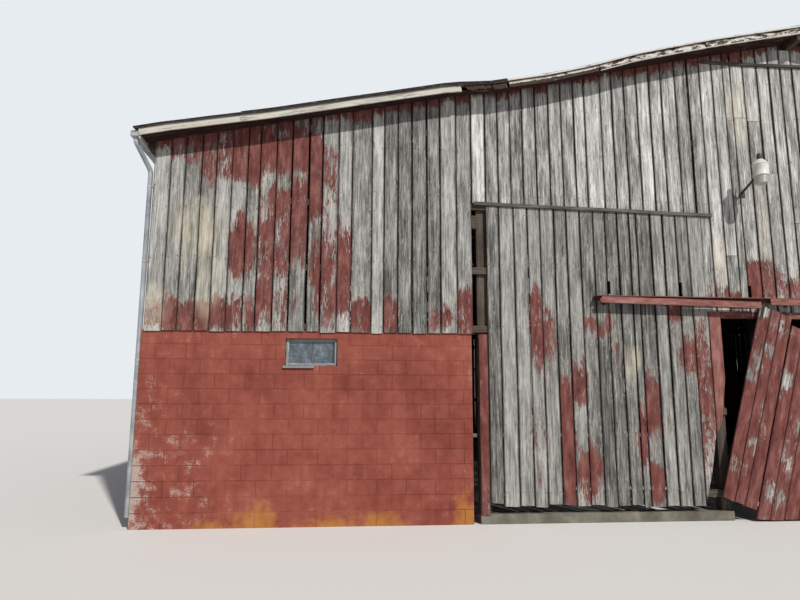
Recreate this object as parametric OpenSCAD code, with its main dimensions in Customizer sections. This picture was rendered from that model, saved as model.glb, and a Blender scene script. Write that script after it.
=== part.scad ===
// Red gable-fronted barn with block-walled outer bays and board walls.
// Origin: middle of the whole footprint at ground level. +X right, +Y to the back, +Z up.
// The gable end with the doorway faces -Y.

/* [Building] */
// Width of each outer bay, the one with the block wall
outer_bay_w = 4600; // [3600:50:6000]
// Width of each side bay, between the outer bay and the door bay
side_bay_w = 3740; // [3000:20:5000]
// Width of the doorway
door_w = 3020; // [2600:20:4000]
// Length of the barn from gable wall to gable wall
barn_depth = 14630; // [10000:10:18000]
// Height of the roofing above the ground at the side wall
eave_h = 5470; // [5200:10:6200]
// Slope of the roof in degrees
roof_pitch = 11.9; // [10:0.1:16]

/* [Block walls] */
// Height of one course of blocks
course_h = 203.2; // [190:0.1:210]
// Number of courses
courses = 13; // [11:1:14]
// Thickness of the block walls
block_t = 200; // [150:10:250]
// How far the block walls stand out past the side boards
block_proud = 25; // [5:5:60]
// Open slot between the end of the block wall and the board wall
slot_w = 100; // [60:10:140]
// Height of the concrete footing under the posts of the gable walls
footing_h = 130; // [80:10:200]

/* [Boards] */
// Thickness of the wall boards
board_t = 25; // [19:1:32]
// How far the outer boards hang down over the blocks
board_lap = 22; // [10:1:60]
// Height of the foot of the lower boards at the outer end
foot_outer = 265; // [200:5:320]
// Height of the foot of the lower boards beside the doorway
foot_inner = 180; // [150:5:320]
// Height of the belt strip at its outer end
belt_outer = 4560; // [4400:10:4700]
// Height of the belt strip beside the door bay
belt_inner = 4480; // [4400:10:4700]
// How far the rail across the door bay lies below the roofing at its ends
rail_fall = 147; // [120:1:300]
// Width of the painted trim board beside the slot
trim_w = 130; // [90:5:160]
// Width of the jamb boards of the doorway
jamb_w = 190; // [140:5:220]
// Width and height of the piece broken off the left wall beside the doorway
break_w = 170; // [100:10:250]
break_h = 900; // [500:50:1100]

/* [Frame] */
// Side of the square posts
post_w = 150; // [120:5:200]
// Depth of the girts behind the boards
girt_t = 50; // [38:1:75]
// Height of the girts
girt_h = 100; // [75:5:150]
// Depth of the beams that carry the rafters
beam_h = 200; // [150:10:260]
// Height of the underside of the tie beams
tie_z = 4200; // [4150:10:4250]
// Reach of the knee braces along post and beam
brace_reach = 700; // [500:50:900]
// Number of bays along the barn
bays = 4; // [3:1:5]

/* [Roof] */
// Thickness of the roofing with its battens
roofing_t = 30; // [20:1:40]
// Depth of the rafters
rafter_h = 140; // [120:5:190]
// Thickness of the rafters
rafter_t = 50; // [38:1:60]
// Number of pairs of rafters
rafter_pairs = 13; // [9:1:16]
// Reach of the roof beyond the gable walls
rake_reach = 320; // [250:10:450]
// Reach of the fascia beyond the side walls
eave_reach = 140; // [120:10:250]
// Depth of the rake boards under the roofing
rake_h = 100; // [90:5:160]
// Thickness of the rake boards, fascias and soffit boards
trim_t = 20; // [16:1:25]
// How far the roofing runs past the rake boards
sheet_over = 30; // [10:5:60]
// Width of the ridge beam that passes out through the gables
ridge_w = 80; // [60:5:120]
// Width of the gutters
gutter_w = 115; // [90:5:140]
// Height of the gutters
gutter_h = 75; // [60:5:100]
// Diameter of the downspouts
pipe_d = 70; // [50:5:90]

/* [Doors] */
// Height of the doorway
door_h = 2900; // [2700:10:2950]
// Height of the header above the doorway
header_h = 100; // [80:5:120]
// Height of a door leaf along its boards
leaf_h = 2890; // [2700:10:2900]
// Thickness of the boards and of the ledges of a leaf
leaf_t = 25; // [20:1:32]
// Lean of the left leaf, from plumb
leaf_lean = 16.4; // [0:0.1:18]
// Slope of the top of the racked left leaf
leaf_rack = 22; // [0:1:24]
// Place of the leaf's hanging corner, from the middle of the doorway
leaf_hang = 930; // [700:10:1100]
// How far the leaf's corner hangs below the track
leaf_drop = 20; // [10:1:40]
// How far the right part of the leaf has dropped
split_drop = 110; // [0:5:150]
// Gap between the leaf and the ground
ground_gap = 8; // [5:1:20]
// Underside of the track above the ground
track_z = 3130; // [3100:5:3150]
// Outside width and height of the track
track_w = 50; // [45:1:60]
track_h = 45; // [40:1:60]
// Reach of the track to each side of the middle of the doorway
track_reach = 3460; // [3300:10:3600]

/* [Windows] */
// Width of a window opening
window_w = 720; // [600:10:900]
// Height of a window opening
window_h = 380; // [300:10:450]
// Height of the foot of a window opening
window_z = 2150; // [2000:10:2180]
// Width of the bars of a window frame
frame_w = 40; // [30:1:60]

/* [Yard light] */
// Place of the yard light, left of the middle
lamp_x = 1000; // [600:20:1300]
// Height of the foot of the lamp housing
lamp_z = 4960; // [4800:20:5200]
// Reach of the lamp from the wall to the middle of its housing
lamp_reach = 480; // [400:10:600]
// Diameter of the lamp housing
lamp_d = 230; // [180:5:280]

/* [Hidden] */
$fn = 48;

eps = 1;
// How far the outer boards run on past the end of the block wall
outer_lap = 30;
block_h = course_h * courses;
half_w = outer_bay_w + side_bay_w + door_w / 2;
bay_x = half_w - outer_bay_w;
jamb_x = door_w / 2;
pitch_rise = tan(roof_pitch);
block_end_x = bay_x + outer_lap;
trim_x = block_end_x - slot_w;
bay_post_x = trim_x;

// The whole object's box is centred on the origin
front_proud = lamp_reach + lamp_d / 2;
rear_proud = rake_reach + sheet_over;
front_y = -(barn_depth + rear_proud - front_proud) / 2;
mid_y = front_y + barn_depth / 2;
frame_front_y = front_y + girt_t;
bay_pitch = (barn_depth - 2 * girt_t - post_w) / bays;

// Heights along the roof, for a distance x from the middle
function roof_top(x) = eave_h + (half_w - abs(x)) * pitch_rise;
function roof_under(x) = roof_top(x) - roofing_t / cos(roof_pitch);
function rafter_under(x) = roof_under(x) - rafter_h / cos(roof_pitch);
function soffit_under(x) = roof_under(x) - rake_h;
// Boards stop just short of the roofing
board_gap = 0.2;
function board_top(x) = roof_under(x) - board_gap;
// Distance from the middle at which the roofing comes down to height z
function reach_under(z) = half_w - (z - eave_h) / pitch_rise - roofing_t / sin(roof_pitch);
function belt_z(x) =
    belt_inner + (belt_outer - belt_inner) * (abs(x) - jamb_x) / (bay_x - jamb_x);
function foot_z(x) =
    foot_inner + (foot_outer - foot_inner) * (abs(x) - jamb_x) / (trim_x - jamb_x);

// Roofing past the fascia, and the gutter's top below it
eave_over = 70;
gutter_drop = 15;
rail_h = roof_under(jamb_x + jamb_w) - rail_fall;
fascia_x = half_w + eave_reach;
sheet_x = fascia_x + eave_over;
gutter_top = roof_under(sheet_x) - gutter_drop;
header_top = door_h + header_h;

// A box from its two corners
module box(a, b) translate(a) cube(b - a);

// A profile drawn in X and Z, from y0 to y1
module along_y(y0, y1)
    translate([0, y1, 0]) rotate([90, 0, 0]) linear_extrude(y1 - y0) children();

// A profile drawn in Y and Z, from x0 to x1
module along_x(x0, x1)
    translate([x0, 0, 0]) rotate([90, 0, 90]) linear_extrude(x1 - x0) children();

// The children and their mirror image on the other side of the ridge
module both_sides() {
    children();
    mirror([1, 0, 0]) children();
}

// The children and their mirror image at the other gable
module both_gables() {
    children();
    translate([0, 2 * mid_y, 0]) mirror([0, 1, 0]) children();
}

// A strip that follows the slope of the roof from x0 to x1, between two depths under the roofing
module slope_strip(x0, x1, top, foot)
    polygon([[x0, roof_under(x0) - foot], [x1, roof_under(x1) - foot],
        [x1, roof_under(x1) - top], [x0, roof_under(x0) - top]]);

// Block walls
module window_hole_front(x)
    box([x - window_w / 2, front_y - eps, window_z],
        [x + window_w / 2, front_y + block_t + eps, window_z + window_h]);

module gable_block_wall(window)
    difference() {
        box([-half_w - block_proud, front_y, 0], [-block_end_x, front_y + block_t, block_h]);
        if (window) window_hole_front(front_window_x);
    }

front_window_x = -half_w + outer_bay_w / 2;

module front_block_wall_left() color("firebrick") gable_block_wall(true);
module front_block_wall_right() color("firebrick") mirror([1, 0, 0]) gable_block_wall(true);
module rear_block_walls()
    color("firebrick") both_sides()
        translate([0, 2 * mid_y, 0]) mirror([0, 1, 0]) gable_block_wall(false);

function side_window_y(i) = mid_y + (i - (bays - 1) / 2) * bay_pitch;

module side_block_wall()
    difference() {
        box([-half_w - block_proud, front_y + block_t, 0],
            [-half_w - block_proud + block_t, front_y + barn_depth - block_t, block_h]);
        for (i = [0:bays - 1])
            box([-half_w - block_proud - eps, side_window_y(i) - window_w / 2, window_z],
                [-half_w + block_t, side_window_y(i) + window_w / 2, window_z + window_h]);
    }

module side_block_wall_left() color("firebrick") side_block_wall();
module side_block_wall_right() color("firebrick") mirror([1, 0, 0]) side_block_wall();

// Concrete strips under the board walls of both gables
module footings()
    color("darkgray") {
        both_sides()
            box([-trim_x, front_y, 0], [-jamb_x, front_y + girt_t + post_w, footing_h]);
        translate([0, 2 * mid_y, 0]) mirror([0, 1, 0])
            box([-trim_x, front_y, 0], [trim_x, front_y + girt_t + post_w, footing_h]);
    }

// Board walls, each a plain sheet with the outline of its boards
module front_sheet() along_y(front_y - board_t, front_y) children();

outer_foot = block_h - board_lap;
seam = 5;

module outer_outline()
    polygon([[-half_w, outer_foot], [-bay_x - seam, outer_foot],
        [-bay_x - seam, board_top(bay_x + seam)], [-half_w, board_top(half_w)]]);

module front_boards_outer() color("rosybrown") both_sides() front_sheet() outer_outline();

// The left sheet has lost its last board beside the doorway, below the height break_h
module lower_outline(broken)
    difference() {
        polygon([[-trim_x + trim_w, foot_z(trim_x - trim_w)],
            [-jamb_x - jamb_w - seam, foot_z(jamb_x + jamb_w)],
            [-jamb_x - jamb_w - seam, belt_z(jamb_x + jamb_w)], [-bay_x, belt_z(bay_x)],
            [-bay_x, outer_foot], [-trim_x + trim_w, outer_foot]]);
        if (broken)
            translate([-jamb_x - jamb_w - break_w, 0]) square([break_w, foot_inner + break_h]);
    }

module front_boards_lower()
    color("silver") {
        front_sheet() lower_outline(true);
        mirror([1, 0, 0]) front_sheet() lower_outline(false);
    }

module upper_outline()
    polygon([[-bay_x, belt_z(bay_x)], [-jamb_x - jamb_w - seam, belt_z(jamb_x + jamb_w)],
        [-jamb_x - jamb_w - seam, board_top(jamb_x + jamb_w + seam)],
        [-bay_x, board_top(bay_x)]]);

module gable_outline() {
    edge = jamb_x + jamb_w;
    polygon([[-edge, rail_h + board_gap], [edge, rail_h + board_gap], [edge, board_top(edge)],
        each ridge_notch, [-edge, board_top(edge)]]);
}

module front_boards_upper()
    color("silver") front_sheet() {
        both_sides() upper_outline();
        gable_outline();
    }

module front_boards_over_door()
    color("silver") front_sheet() translate([-jamb_x - jamb_w, header_top])
        square([2 * (jamb_x + jamb_w), rail_h - header_top]);

// The ridge beam hangs below the soffits and passes through a notch in each gable
ridge_fall = 100;
ridge_foot = soffit_under(0) - ridge_fall;

module ridge_outline()
    polygon([[-ridge_w / 2, ridge_foot], [ridge_w / 2, ridge_foot],
        [ridge_w / 2, roof_under(ridge_w / 2)], [0, roof_under(0)],
        [-ridge_w / 2, roof_under(ridge_w / 2)]]);

ridge_notch = [[ridge_w / 2, board_top(ridge_w / 2)], [ridge_w / 2, ridge_foot],
    [-ridge_w / 2, ridge_foot], [-ridge_w / 2, board_top(ridge_w / 2)]];

module side_boards()
    color("silver") both_sides()
        box([-half_w, front_y, block_h],
            [-half_w + board_t, front_y + barn_depth, rafter_under(half_w)]);

module rear_boards()
    color("silver") translate([0, 2 * mid_y, 0]) mirror([0, 1, 0]) front_sheet()
        polygon([[-trim_x, foot_outer], [trim_x, foot_outer], [trim_x, outer_foot],
            [half_w, outer_foot], [half_w, board_top(half_w)], each ridge_notch,
            [-half_w, board_top(half_w)], [-half_w, outer_foot], [-trim_x, outer_foot]]);

// Strips nailed over the ends of the boards, short of the edges of their bay
strip_h = 50;
strip_t = 30;
strip_inset = 25;

module belt_outline() {
    x0 = bay_x - strip_inset;
    x1 = jamb_x + strip_inset;
    polygon([[-x0, belt_z(x0) - strip_h / 2], [-x1, belt_z(x1) - strip_h / 2],
        [-x1, belt_z(x1) + strip_h / 2], [-x0, belt_z(x0) + strip_h / 2]]);
}

module belt_strips()
    color("dimgray") along_y(front_y - board_t - strip_t, front_y - board_t) {
        both_sides() belt_outline();
        translate([-jamb_x, rail_h - strip_h / 2]) square([door_w, strip_h]);
    }

// Trim boards beside the slots and at the jambs. The left jamb board is split off at its foot.
jamb_break_z = 1220;
jamb_split_z = 2020;
jamb_stub_w = 70;

module trim_boards()
    color("firebrick") front_sheet() {
        both_sides()
            translate([-trim_x, footing_h]) square([trim_w, outer_foot - footing_h]);
        polygon([[-jamb_x - jamb_w, jamb_break_z],
            [-jamb_x - jamb_w + jamb_stub_w, jamb_break_z],
            [-jamb_x, jamb_split_z], [-jamb_x, header_top], [-jamb_x - jamb_w, header_top]]);
        translate([jamb_x, footing_h]) square([jamb_w, header_top - footing_h]);
    }

module door_header()
    color("firebrick")
        box([-jamb_x, front_y - board_t, door_h], [jamb_x, front_y + girt_t, header_top]);

// Timber frame
function bent_y(i) = frame_front_y + i * bay_pitch;
outer_post_x = half_w - girt_t - post_w;

// The inner face of a line of posts, by its name
function line_x(line) = line == "outer" ? outer_post_x
    : line == "bay" ? bay_post_x - post_w : jamb_x;
function line_foot(line, i) =
    line == "outer" ? block_h : i == 0 || i == bays ? footing_h : 0;
function beam_foot(line) = rafter_under(line_x(line) + post_w) - beam_h;

module post(line, i)
    box([-line_x(line) - post_w, bent_y(i), line_foot(line, i)],
        [-line_x(line), bent_y(i) + post_w, beam_foot(line)]);

module posts()
    color("saddlebrown") both_sides()
        for (line = ["outer", "bay", "door"])
            for (i = [0:bays])
                post(line, i);

tie_h = 200;

module tie(x0, x1, i) box([x0, bent_y(i), tie_z], [x1, bent_y(i) + post_w, tie_z + tie_h]);

module tie_beams()
    color("saddlebrown")
        for (i = [0:bays]) {
            both_sides() {
                tie(-line_x("outer"), -line_x("bay") - post_w, i);
                tie(-line_x("bay"), -line_x("door") - post_w, i);
            }
            tie(-line_x("door"), line_x("door"), i);
        }

module plate_beams()
    color("saddlebrown") both_sides()
        for (line = ["outer", "bay", "door"])
            along_y(frame_front_y, front_y + barn_depth - girt_t)
                polygon([[-line_x(line) - post_w, beam_foot(line)],
                    [-line_x(line), beam_foot(line)], [-line_x(line), rafter_under(line_x(line))],
                    [-line_x(line) - post_w, rafter_under(line_x(line) + post_w)]]);

// Girts behind the boards of a gable, each at its height and between its ends
low_girts = [330, 1480];
mid_girts = [block_h, 3500];
belt_girt = 4470;
high_girts = [5600, 6500];
side_girt = 3900;

module gable_girt(x0, x1, z) box([x0, front_y, z], [x1, front_y + girt_t, z + girt_h]);

module side_girts(z)
    both_sides()
        box([-half_w + board_t, front_y + girt_t, z],
            [-half_w + girt_t, front_y + barn_depth - girt_t, z + girt_h]);

module wall_girts()
    color("peru") {
        both_gables() {
            both_sides() {
                for (z = low_girts) gable_girt(-trim_x, -jamb_x, z);
                for (z = mid_girts) gable_girt(-half_w + board_t, -jamb_x, z);
            }
            gable_girt(-half_w + board_t, half_w - board_t, belt_girt);
            for (z = high_girts)
                gable_girt(-reach_under(z + girt_h), reach_under(z + girt_h), z);
        }
        for (z = [block_h + girt_h, side_girt, rafter_under(half_w) - girt_h]) side_girts(z);
    }

// Knee braces in the planes of the inner bents, from a post up to a tie beam
brace_w = 100;
brace_t = 75;

module knee_brace(x, i, side)
    along_y(bent_y(i) + (post_w - brace_t) / 2, bent_y(i) + (post_w + brace_t) / 2)
        polygon([[x, tie_z - brace_reach], [x, tie_z - brace_reach - brace_w * sqrt(2)],
            [x + side * (brace_reach + brace_w * sqrt(2)), tie_z],
            [x + side * brace_reach, tie_z]]);

module knee_braces()
    color("saddlebrown") both_sides()
        for (i = [1:bays]) {
            knee_brace(-line_x("door"), i, 1);
            knee_brace(-line_x("door") - post_w, i, -1);
            knee_brace(-line_x("bay"), i, 1);
        }

// Roof
rafter_pitch = (barn_depth - 2 * girt_t - rafter_t) / (rafter_pairs - 1);

module rafters()
    color("peru") both_sides()
        for (i = [0:rafter_pairs - 1])
            along_y(frame_front_y + i * rafter_pitch, frame_front_y + i * rafter_pitch + rafter_t)
                slope_strip(-fascia_x + trim_t, -ridge_w / 2, 0, rafter_h / cos(roof_pitch));

module ridge_beam()
    color("saddlebrown")
        along_y(front_y - rake_reach + trim_t, front_y + barn_depth + rake_reach - trim_t)
            ridge_outline();

module roof_slope()
    along_y(front_y - rake_reach - sheet_over, front_y + barn_depth + rake_reach + sheet_over)
        polygon([[-sheet_x, roof_under(sheet_x)], [0, roof_under(0)], [0, roof_top(0)],
            [-sheet_x, roof_top(sheet_x)]]);

module roof_left() color("gray") roof_slope();
module roof_right() color("gray") mirror([1, 0, 0]) roof_slope();

cap_w = 180;
cap_t = 6;

module ridge_cap()
    color("darkgray")
        along_y(front_y - rake_reach - sheet_over, front_y + barn_depth + rake_reach + sheet_over)
            polygon([[-cap_w, roof_top(cap_w)], [0, roof_top(0)], [cap_w, roof_top(cap_w)],
                [cap_w, roof_top(cap_w) + cap_t], [0, roof_top(0) + cap_t],
                [-cap_w, roof_top(cap_w) + cap_t]]);

// The two halves of a rake meet at a narrow joint on the ridge
module rake_boards()
    color("antiquewhite") both_gables() both_sides()
        along_y(front_y - rake_reach, front_y - rake_reach + trim_t)
            slope_strip(-fascia_x, -seam / 2, 0, rake_h);

module soffits()
    color("maroon") both_gables() both_sides()
        along_y(front_y - rake_reach + trim_t, front_y - board_t)
            slope_strip(-fascia_x + trim_t, -ridge_w / 2, rake_h - trim_t, rake_h);

module eave_fascias()
    color("antiquewhite") both_sides()
        along_y(front_y - rake_reach + trim_t, front_y + barn_depth + rake_reach - trim_t)
            slope_strip(-fascia_x, -fascia_x + trim_t, 0, rafter_h);

// Gutters: an open channel with a round outlet over each downspout
gutter_wall = 4;
outlet_inset = 90;
outlet_y = front_y - rake_reach + outlet_inset;
outlet_x = fascia_x + gutter_w / 2;

module gutter() {
    low = [-fascia_x - gutter_w, front_y - rake_reach + trim_t, gutter_top - gutter_h];
    high = [-fascia_x, front_y + barn_depth + rake_reach - trim_t, gutter_top];
    wall = [gutter_wall, gutter_wall, gutter_wall];
    difference() {
        box(low, high);
        box(low + wall, high - [gutter_wall, gutter_wall, -eps]);
    }
}

module gutters() color("lightgray") both_sides() gutter();

// A round pipe between two points
module pipe(a, b) {
    d = b - a;
    translate(a) rotate([0, acos(d.z / norm(d)), atan2(d.y, d.x)])
        cylinder(h = norm(d), d = pipe_d);
}

// A stub from the outlet, a slanting pipe back to the wall and a long pipe down the blocks,
// with a round bend where they meet
collar_d = pipe_d + 8;
stub_l = 60;
elbow_fall = 320;
pipe_back = 60;
pipe_foot_z = 150;

module downspout() {
    gutter_foot = gutter_top - gutter_h;
    top = [-outlet_x, outlet_y, gutter_foot - stub_l];
    foot = [-half_w - block_proud - collar_d / 2, front_y + pipe_back, top.z - elbow_fall];
    translate(top) cylinder(h = stub_l, d = pipe_d);
    translate(top) sphere(d = collar_d);
    pipe(top, foot);
    translate(foot) sphere(d = collar_d);
    translate([foot.x, foot.y, pipe_foot_z]) cylinder(h = foot.z - pipe_foot_z, d = pipe_d);
    // Clamp that holds the pipe to the blocks
    box([foot.x - collar_d / 2, foot.y - clamp_h / 2, clamp_z],
        [-half_w - block_proud, foot.y + clamp_h / 2, clamp_z + clamp_h]);
}

clamp_h = 30;
clamp_z = 2200;

module downspouts() color("lightgray") both_sides() downspout();

// Door track: a box rail with a slot below, on brackets from the wall
track_wall = 4;
track_slot = 16;
track_off = 65;
track_y = front_y - board_t - track_off;
bracket_t = 8;
bracket_w = 60;
bracket_fall = 60;
bracket_inset = 150;
brackets = 8;
cover_off = 35;
cover_y = track_y - track_w / 2 - cover_off;

module track_profile()
    difference() {
        translate([track_y - track_w / 2, track_z]) square([track_w, track_h]);
        translate([track_y - track_w / 2 + track_wall, track_z + track_wall])
            square([track_w - 2 * track_wall, track_h - 2 * track_wall]);
        translate([track_y - track_slot / 2, track_z - eps])
            square([track_slot, track_wall + 2 * eps]);
    }

function bracket_x(i) =
    (track_reach - bracket_inset) * (2 * i / (brackets - 1) - 1);

module door_track() color("dimgray") along_x(-track_reach, track_reach) track_profile();

module track_brackets()
    color("dimgray")
        for (i = [0:brackets - 1]) {
            box([bracket_x(i) - bracket_w / 2, cover_y, track_z + track_h],
                [bracket_x(i) + bracket_w / 2, front_y - board_t, hood_foot]);
            box([bracket_x(i) - bracket_w / 2, front_y - board_t - bracket_t,
                    track_z - bracket_fall],
                [bracket_x(i) + bracket_w / 2, front_y - board_t, hood_foot]);
        }

// A plank over the brackets and two boards that hide the track from the front
hood_foot = track_z + track_h + bracket_t;
hood_t = 12;
cover_h = 100;
cover_t = 22;
cover_gap = [-945, -800];
cover_sag = 1.1;

module track_hood()
    color("firebrick") box([-track_reach, cover_y - cover_t, hood_foot],
        [track_reach, front_y - board_t, hood_foot + hood_t]);

module track_cover_boards()
    color("firebrick") {
        translate([-track_reach, cover_y - cover_t, hood_foot]) rotate([0, cover_sag, 0])
            translate([0, 0, -cover_h]) cube([track_reach + cover_gap[0], cover_t, cover_h]);
        box([cover_gap[1], cover_y - cover_t, hood_foot - cover_h],
            [track_reach, cover_y, hood_foot]);
    }

// Door leaves. The left one has racked and leans on one hanger; its foot is lost at the ground.
leaf_over = 40;
leaf_w = jamb_x + leaf_over;
leaf_split = 540;
leaf_corner = [-leaf_hang, track_z - leaf_drop];
leaf_boards_y = track_y - leaf_t;

function along_leaf(u, v) = leaf_corner
    + u * [cos(leaf_rack), -sin(leaf_rack)] + v * [-sin(leaf_lean), -cos(leaf_lean)];

module above_ground() translate([-half_w, ground_gap]) square([2 * half_w, 2 * leaf_h]);

module leaf_outline()
    intersection() {
        polygon([along_leaf(0, 0), along_leaf(leaf_split, 0), along_leaf(leaf_split, split_drop),
            along_leaf(leaf_w, split_drop), along_leaf(leaf_w, leaf_h + split_drop),
            along_leaf(leaf_split, leaf_h + split_drop), along_leaf(leaf_split, leaf_h),
            along_leaf(0, leaf_h)]);
        above_ground();
    }

module door_leaf_left() color("firebrick") along_y(leaf_boards_y, track_y) leaf_outline();

ledge_w = 150;
ledge_inset = 30;
ledge_places = [180, 1400, 2520];

module ledge_band(v)
    intersection() {
        polygon([along_leaf(ledge_inset, v), along_leaf(leaf_w - ledge_inset, v),
            along_leaf(leaf_w - ledge_inset, v + ledge_w), along_leaf(ledge_inset, v + ledge_w)]);
        above_ground();
    }

module door_ledges_left()
    color("firebrick") along_y(track_y, track_y + leaf_t)
        for (v = ledge_places) ledge_band(v);

// A trolley inside the track with a strap down to the corner of the leaf
trolley_l = 70;
stem_d = 10;
strap_t = 6;
strap_w = 45;
strap_l = 250;
plate_gap = 10;
plate_back = 12;
trolley_clear = 5;
trolley_seat = 0.3;

module trolley(x) {
    foot = track_z + track_wall + trolley_seat;
    box([x - trolley_l / 2, track_y - track_w / 2 + track_wall + trolley_clear, foot],
        [x + trolley_l / 2, track_y + track_w / 2 - track_wall - trolley_clear,
            track_z + track_h - track_wall - trolley_clear]);
    translate([x, track_y, track_z - plate_gap - eps])
        cylinder(h = foot - track_z + plate_gap + 2 * eps, d = stem_d);
}

hang_inset = 60;
hang_x = hang_inset - leaf_hang;

// A trolley with a plate forward to the face of the leaf, and the strap down that face
module hanger(x, lean) {
    plate_top = track_z - plate_gap;
    trolley(x);
    box([x - strap_w / 2, leaf_boards_y - strap_t, plate_top - strap_t],
        [x + strap_w / 2, track_y + plate_back, plate_top]);
    along_y(leaf_boards_y - strap_t, leaf_boards_y)
        translate([x, plate_top - strap_t]) rotate(-lean)
            translate([-strap_w / 2, -strap_l]) square([strap_w, strap_l]);
}

module door_hanger_left() color("dimgray") hanger(hang_x, leaf_lean);

// The right leaf hangs plumb, slid clear of the left one
leaf_apart = 60;
right_leaf_x = along_leaf(leaf_w, split_drop).x + leaf_apart;
right_leaf_top = track_z - leaf_drop;

module door_leaf_right()
    color("firebrick")
        box([right_leaf_x, leaf_boards_y, right_leaf_top - leaf_h],
            [right_leaf_x + leaf_w, track_y, right_leaf_top]);

module door_ledges_right()
    color("firebrick")
        for (v = ledge_places)
            box([right_leaf_x + ledge_inset, track_y, right_leaf_top - v - ledge_w],
                [right_leaf_x + leaf_w - ledge_inset, track_y + leaf_t, right_leaf_top - v]);

right_hang_inset = 200;

module door_hangers_right()
    color("dimgray")
        for (x = [right_leaf_x + right_hang_inset, right_leaf_x + leaf_w - right_hang_inset])
            hanger(x, 0);

// Windows: a frame with one pane, set back in the block wall
frame_t = 60;
frame_back = 50;
pane_t = 6;
sill_t = 30;
sill_proud = 35;
sill_over = 40;

// Each is seen from outside, with the wall's outer face in the plane y = 0 and the foot middle
// of the opening at the origin. The stiles run the whole height, the rails fit between them.
module window_stiles_one()
    both_sides()
        translate([-window_w / 2, frame_back, 0]) cube([frame_w, frame_t, window_h]);

module window_rails_one(sill_w) {
    for (z = [0, window_h - frame_w])
        translate([-window_w / 2 + frame_w, frame_back, z])
            cube([window_w - 2 * frame_w, frame_t, frame_w]);
    translate([-window_w / 2 - sill_over, -sill_proud, -sill_t])
        cube([sill_w, sill_proud, sill_t]);
}

module window_pane()
    translate([-window_w / 2 + frame_w, frame_back + (frame_t - pane_t) / 2, frame_w])
        cube([window_w - 2 * frame_w, pane_t, window_h - 2 * frame_w]);

module at_front_window() translate([front_window_x, front_y, window_z]) children();
module at_side_windows()
    for (i = [0:bays - 1])
        translate([-half_w - block_proud, side_window_y(i), window_z]) rotate(-90) children();

full_sill = window_w + 2 * sill_over;
broken_sill = 440;

module window_stiles()
    color("gainsboro") both_sides() {
        at_front_window() window_stiles_one();
        at_side_windows() window_stiles_one();
    }

// The sill of the left front window has lost its right end
module window_rails()
    color("gainsboro") {
        at_front_window() window_rails_one(broken_sill);
        mirror([1, 0, 0]) at_front_window() window_rails_one(full_sill);
        both_sides() at_side_windows() window_rails_one(full_sill);
    }

module window_panes()
    color("slategray") both_sides() {
        at_front_window() window_pane();
        at_side_windows() window_pane();
    }

// Yard light on its bracket
lamp_y = front_y - lamp_reach;
housing_h = 180;
cap_h = 80;
cell_h = 100;
cell_d = 80;
lens_h = 120;
lens_foot_d = lamp_d - 60;
lens_top_d = lamp_d - 20;
lamp_arm_d = 42;
lamp_plate_w = 90;
lamp_plate_h = 140;
lamp_plate_t = 8;
arm_foot_z = lamp_z - 110;
arm_top_z = lamp_z + 80;

module lamp_body()
    translate([-lamp_x, lamp_y, lamp_z]) {
        cylinder(h = housing_h, d = lamp_d);
        translate([0, 0, housing_h]) cylinder(h = cap_h, d1 = lamp_d, d2 = cell_d);
        translate([0, 0, housing_h + cap_h]) cylinder(h = cell_h, d = cell_d);
    }

module lamp_head() color("whitesmoke") lamp_body();

module lamp_lens()
    color("lightcyan") translate([-lamp_x, lamp_y, lamp_z - lens_h])
        cylinder(h = lens_h, d1 = lens_foot_d, d2 = lens_top_d);

// The sloping arm starts inside the wall, is cut off flush with it and ends in the housing
module lamp_arm() {
    rise = arm_top_z - arm_foot_z;
    difference() {
        translate([-lamp_x, front_y, arm_foot_z]) rotate([atan2(lamp_reach, rise), 0, 0])
            cylinder(h = norm([lamp_reach, rise]), d = lamp_arm_d);
        box([-lamp_x - lamp_d, front_y - board_t, arm_foot_z - lamp_d],
            [-lamp_x + lamp_d, front_y + lamp_d, arm_foot_z + lamp_d]);
    }
}

module lamp_plate()
    box([-lamp_x - lamp_plate_w / 2, front_y - board_t - lamp_plate_t,
            arm_foot_z - lamp_plate_h / 2],
        [-lamp_x + lamp_plate_w / 2, front_y - board_t, arm_foot_z + lamp_plate_h / 2]);

module lamp_bracket()
    color("sienna") difference() {
        union() {
            lamp_plate();
            lamp_arm();
        }
        lamp_body();
    }

front_block_wall_left();
front_block_wall_right();
side_block_wall_left();
side_block_wall_right();
rear_block_walls();
footings();
front_boards_outer();
front_boards_lower();
front_boards_upper();
front_boards_over_door();
side_boards();
rear_boards();
belt_strips();
trim_boards();
door_header();
posts();
tie_beams();
plate_beams();
wall_girts();
knee_braces();
rafters();
ridge_beam();
roof_left();
roof_right();
ridge_cap();
rake_boards();
soffits();
eave_fascias();
gutters();
downspouts();
door_track();
track_brackets();
track_hood();
track_cover_boards();
door_leaf_left();
door_ledges_left();
door_hanger_left();
door_leaf_right();
door_ledges_right();
door_hangers_right();
window_stiles();
window_rails();
window_panes();
lamp_bracket();
lamp_head();
lamp_lens();
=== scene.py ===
"""Looks of the red barn: separate boards, blocks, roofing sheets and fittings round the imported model.

Everything is in metres, in the model's frame: +X right, +Y to the rear, +Z up.
"""
import math

import bpy
import numpy as np
from mathutils import Matrix, Vector


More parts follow.
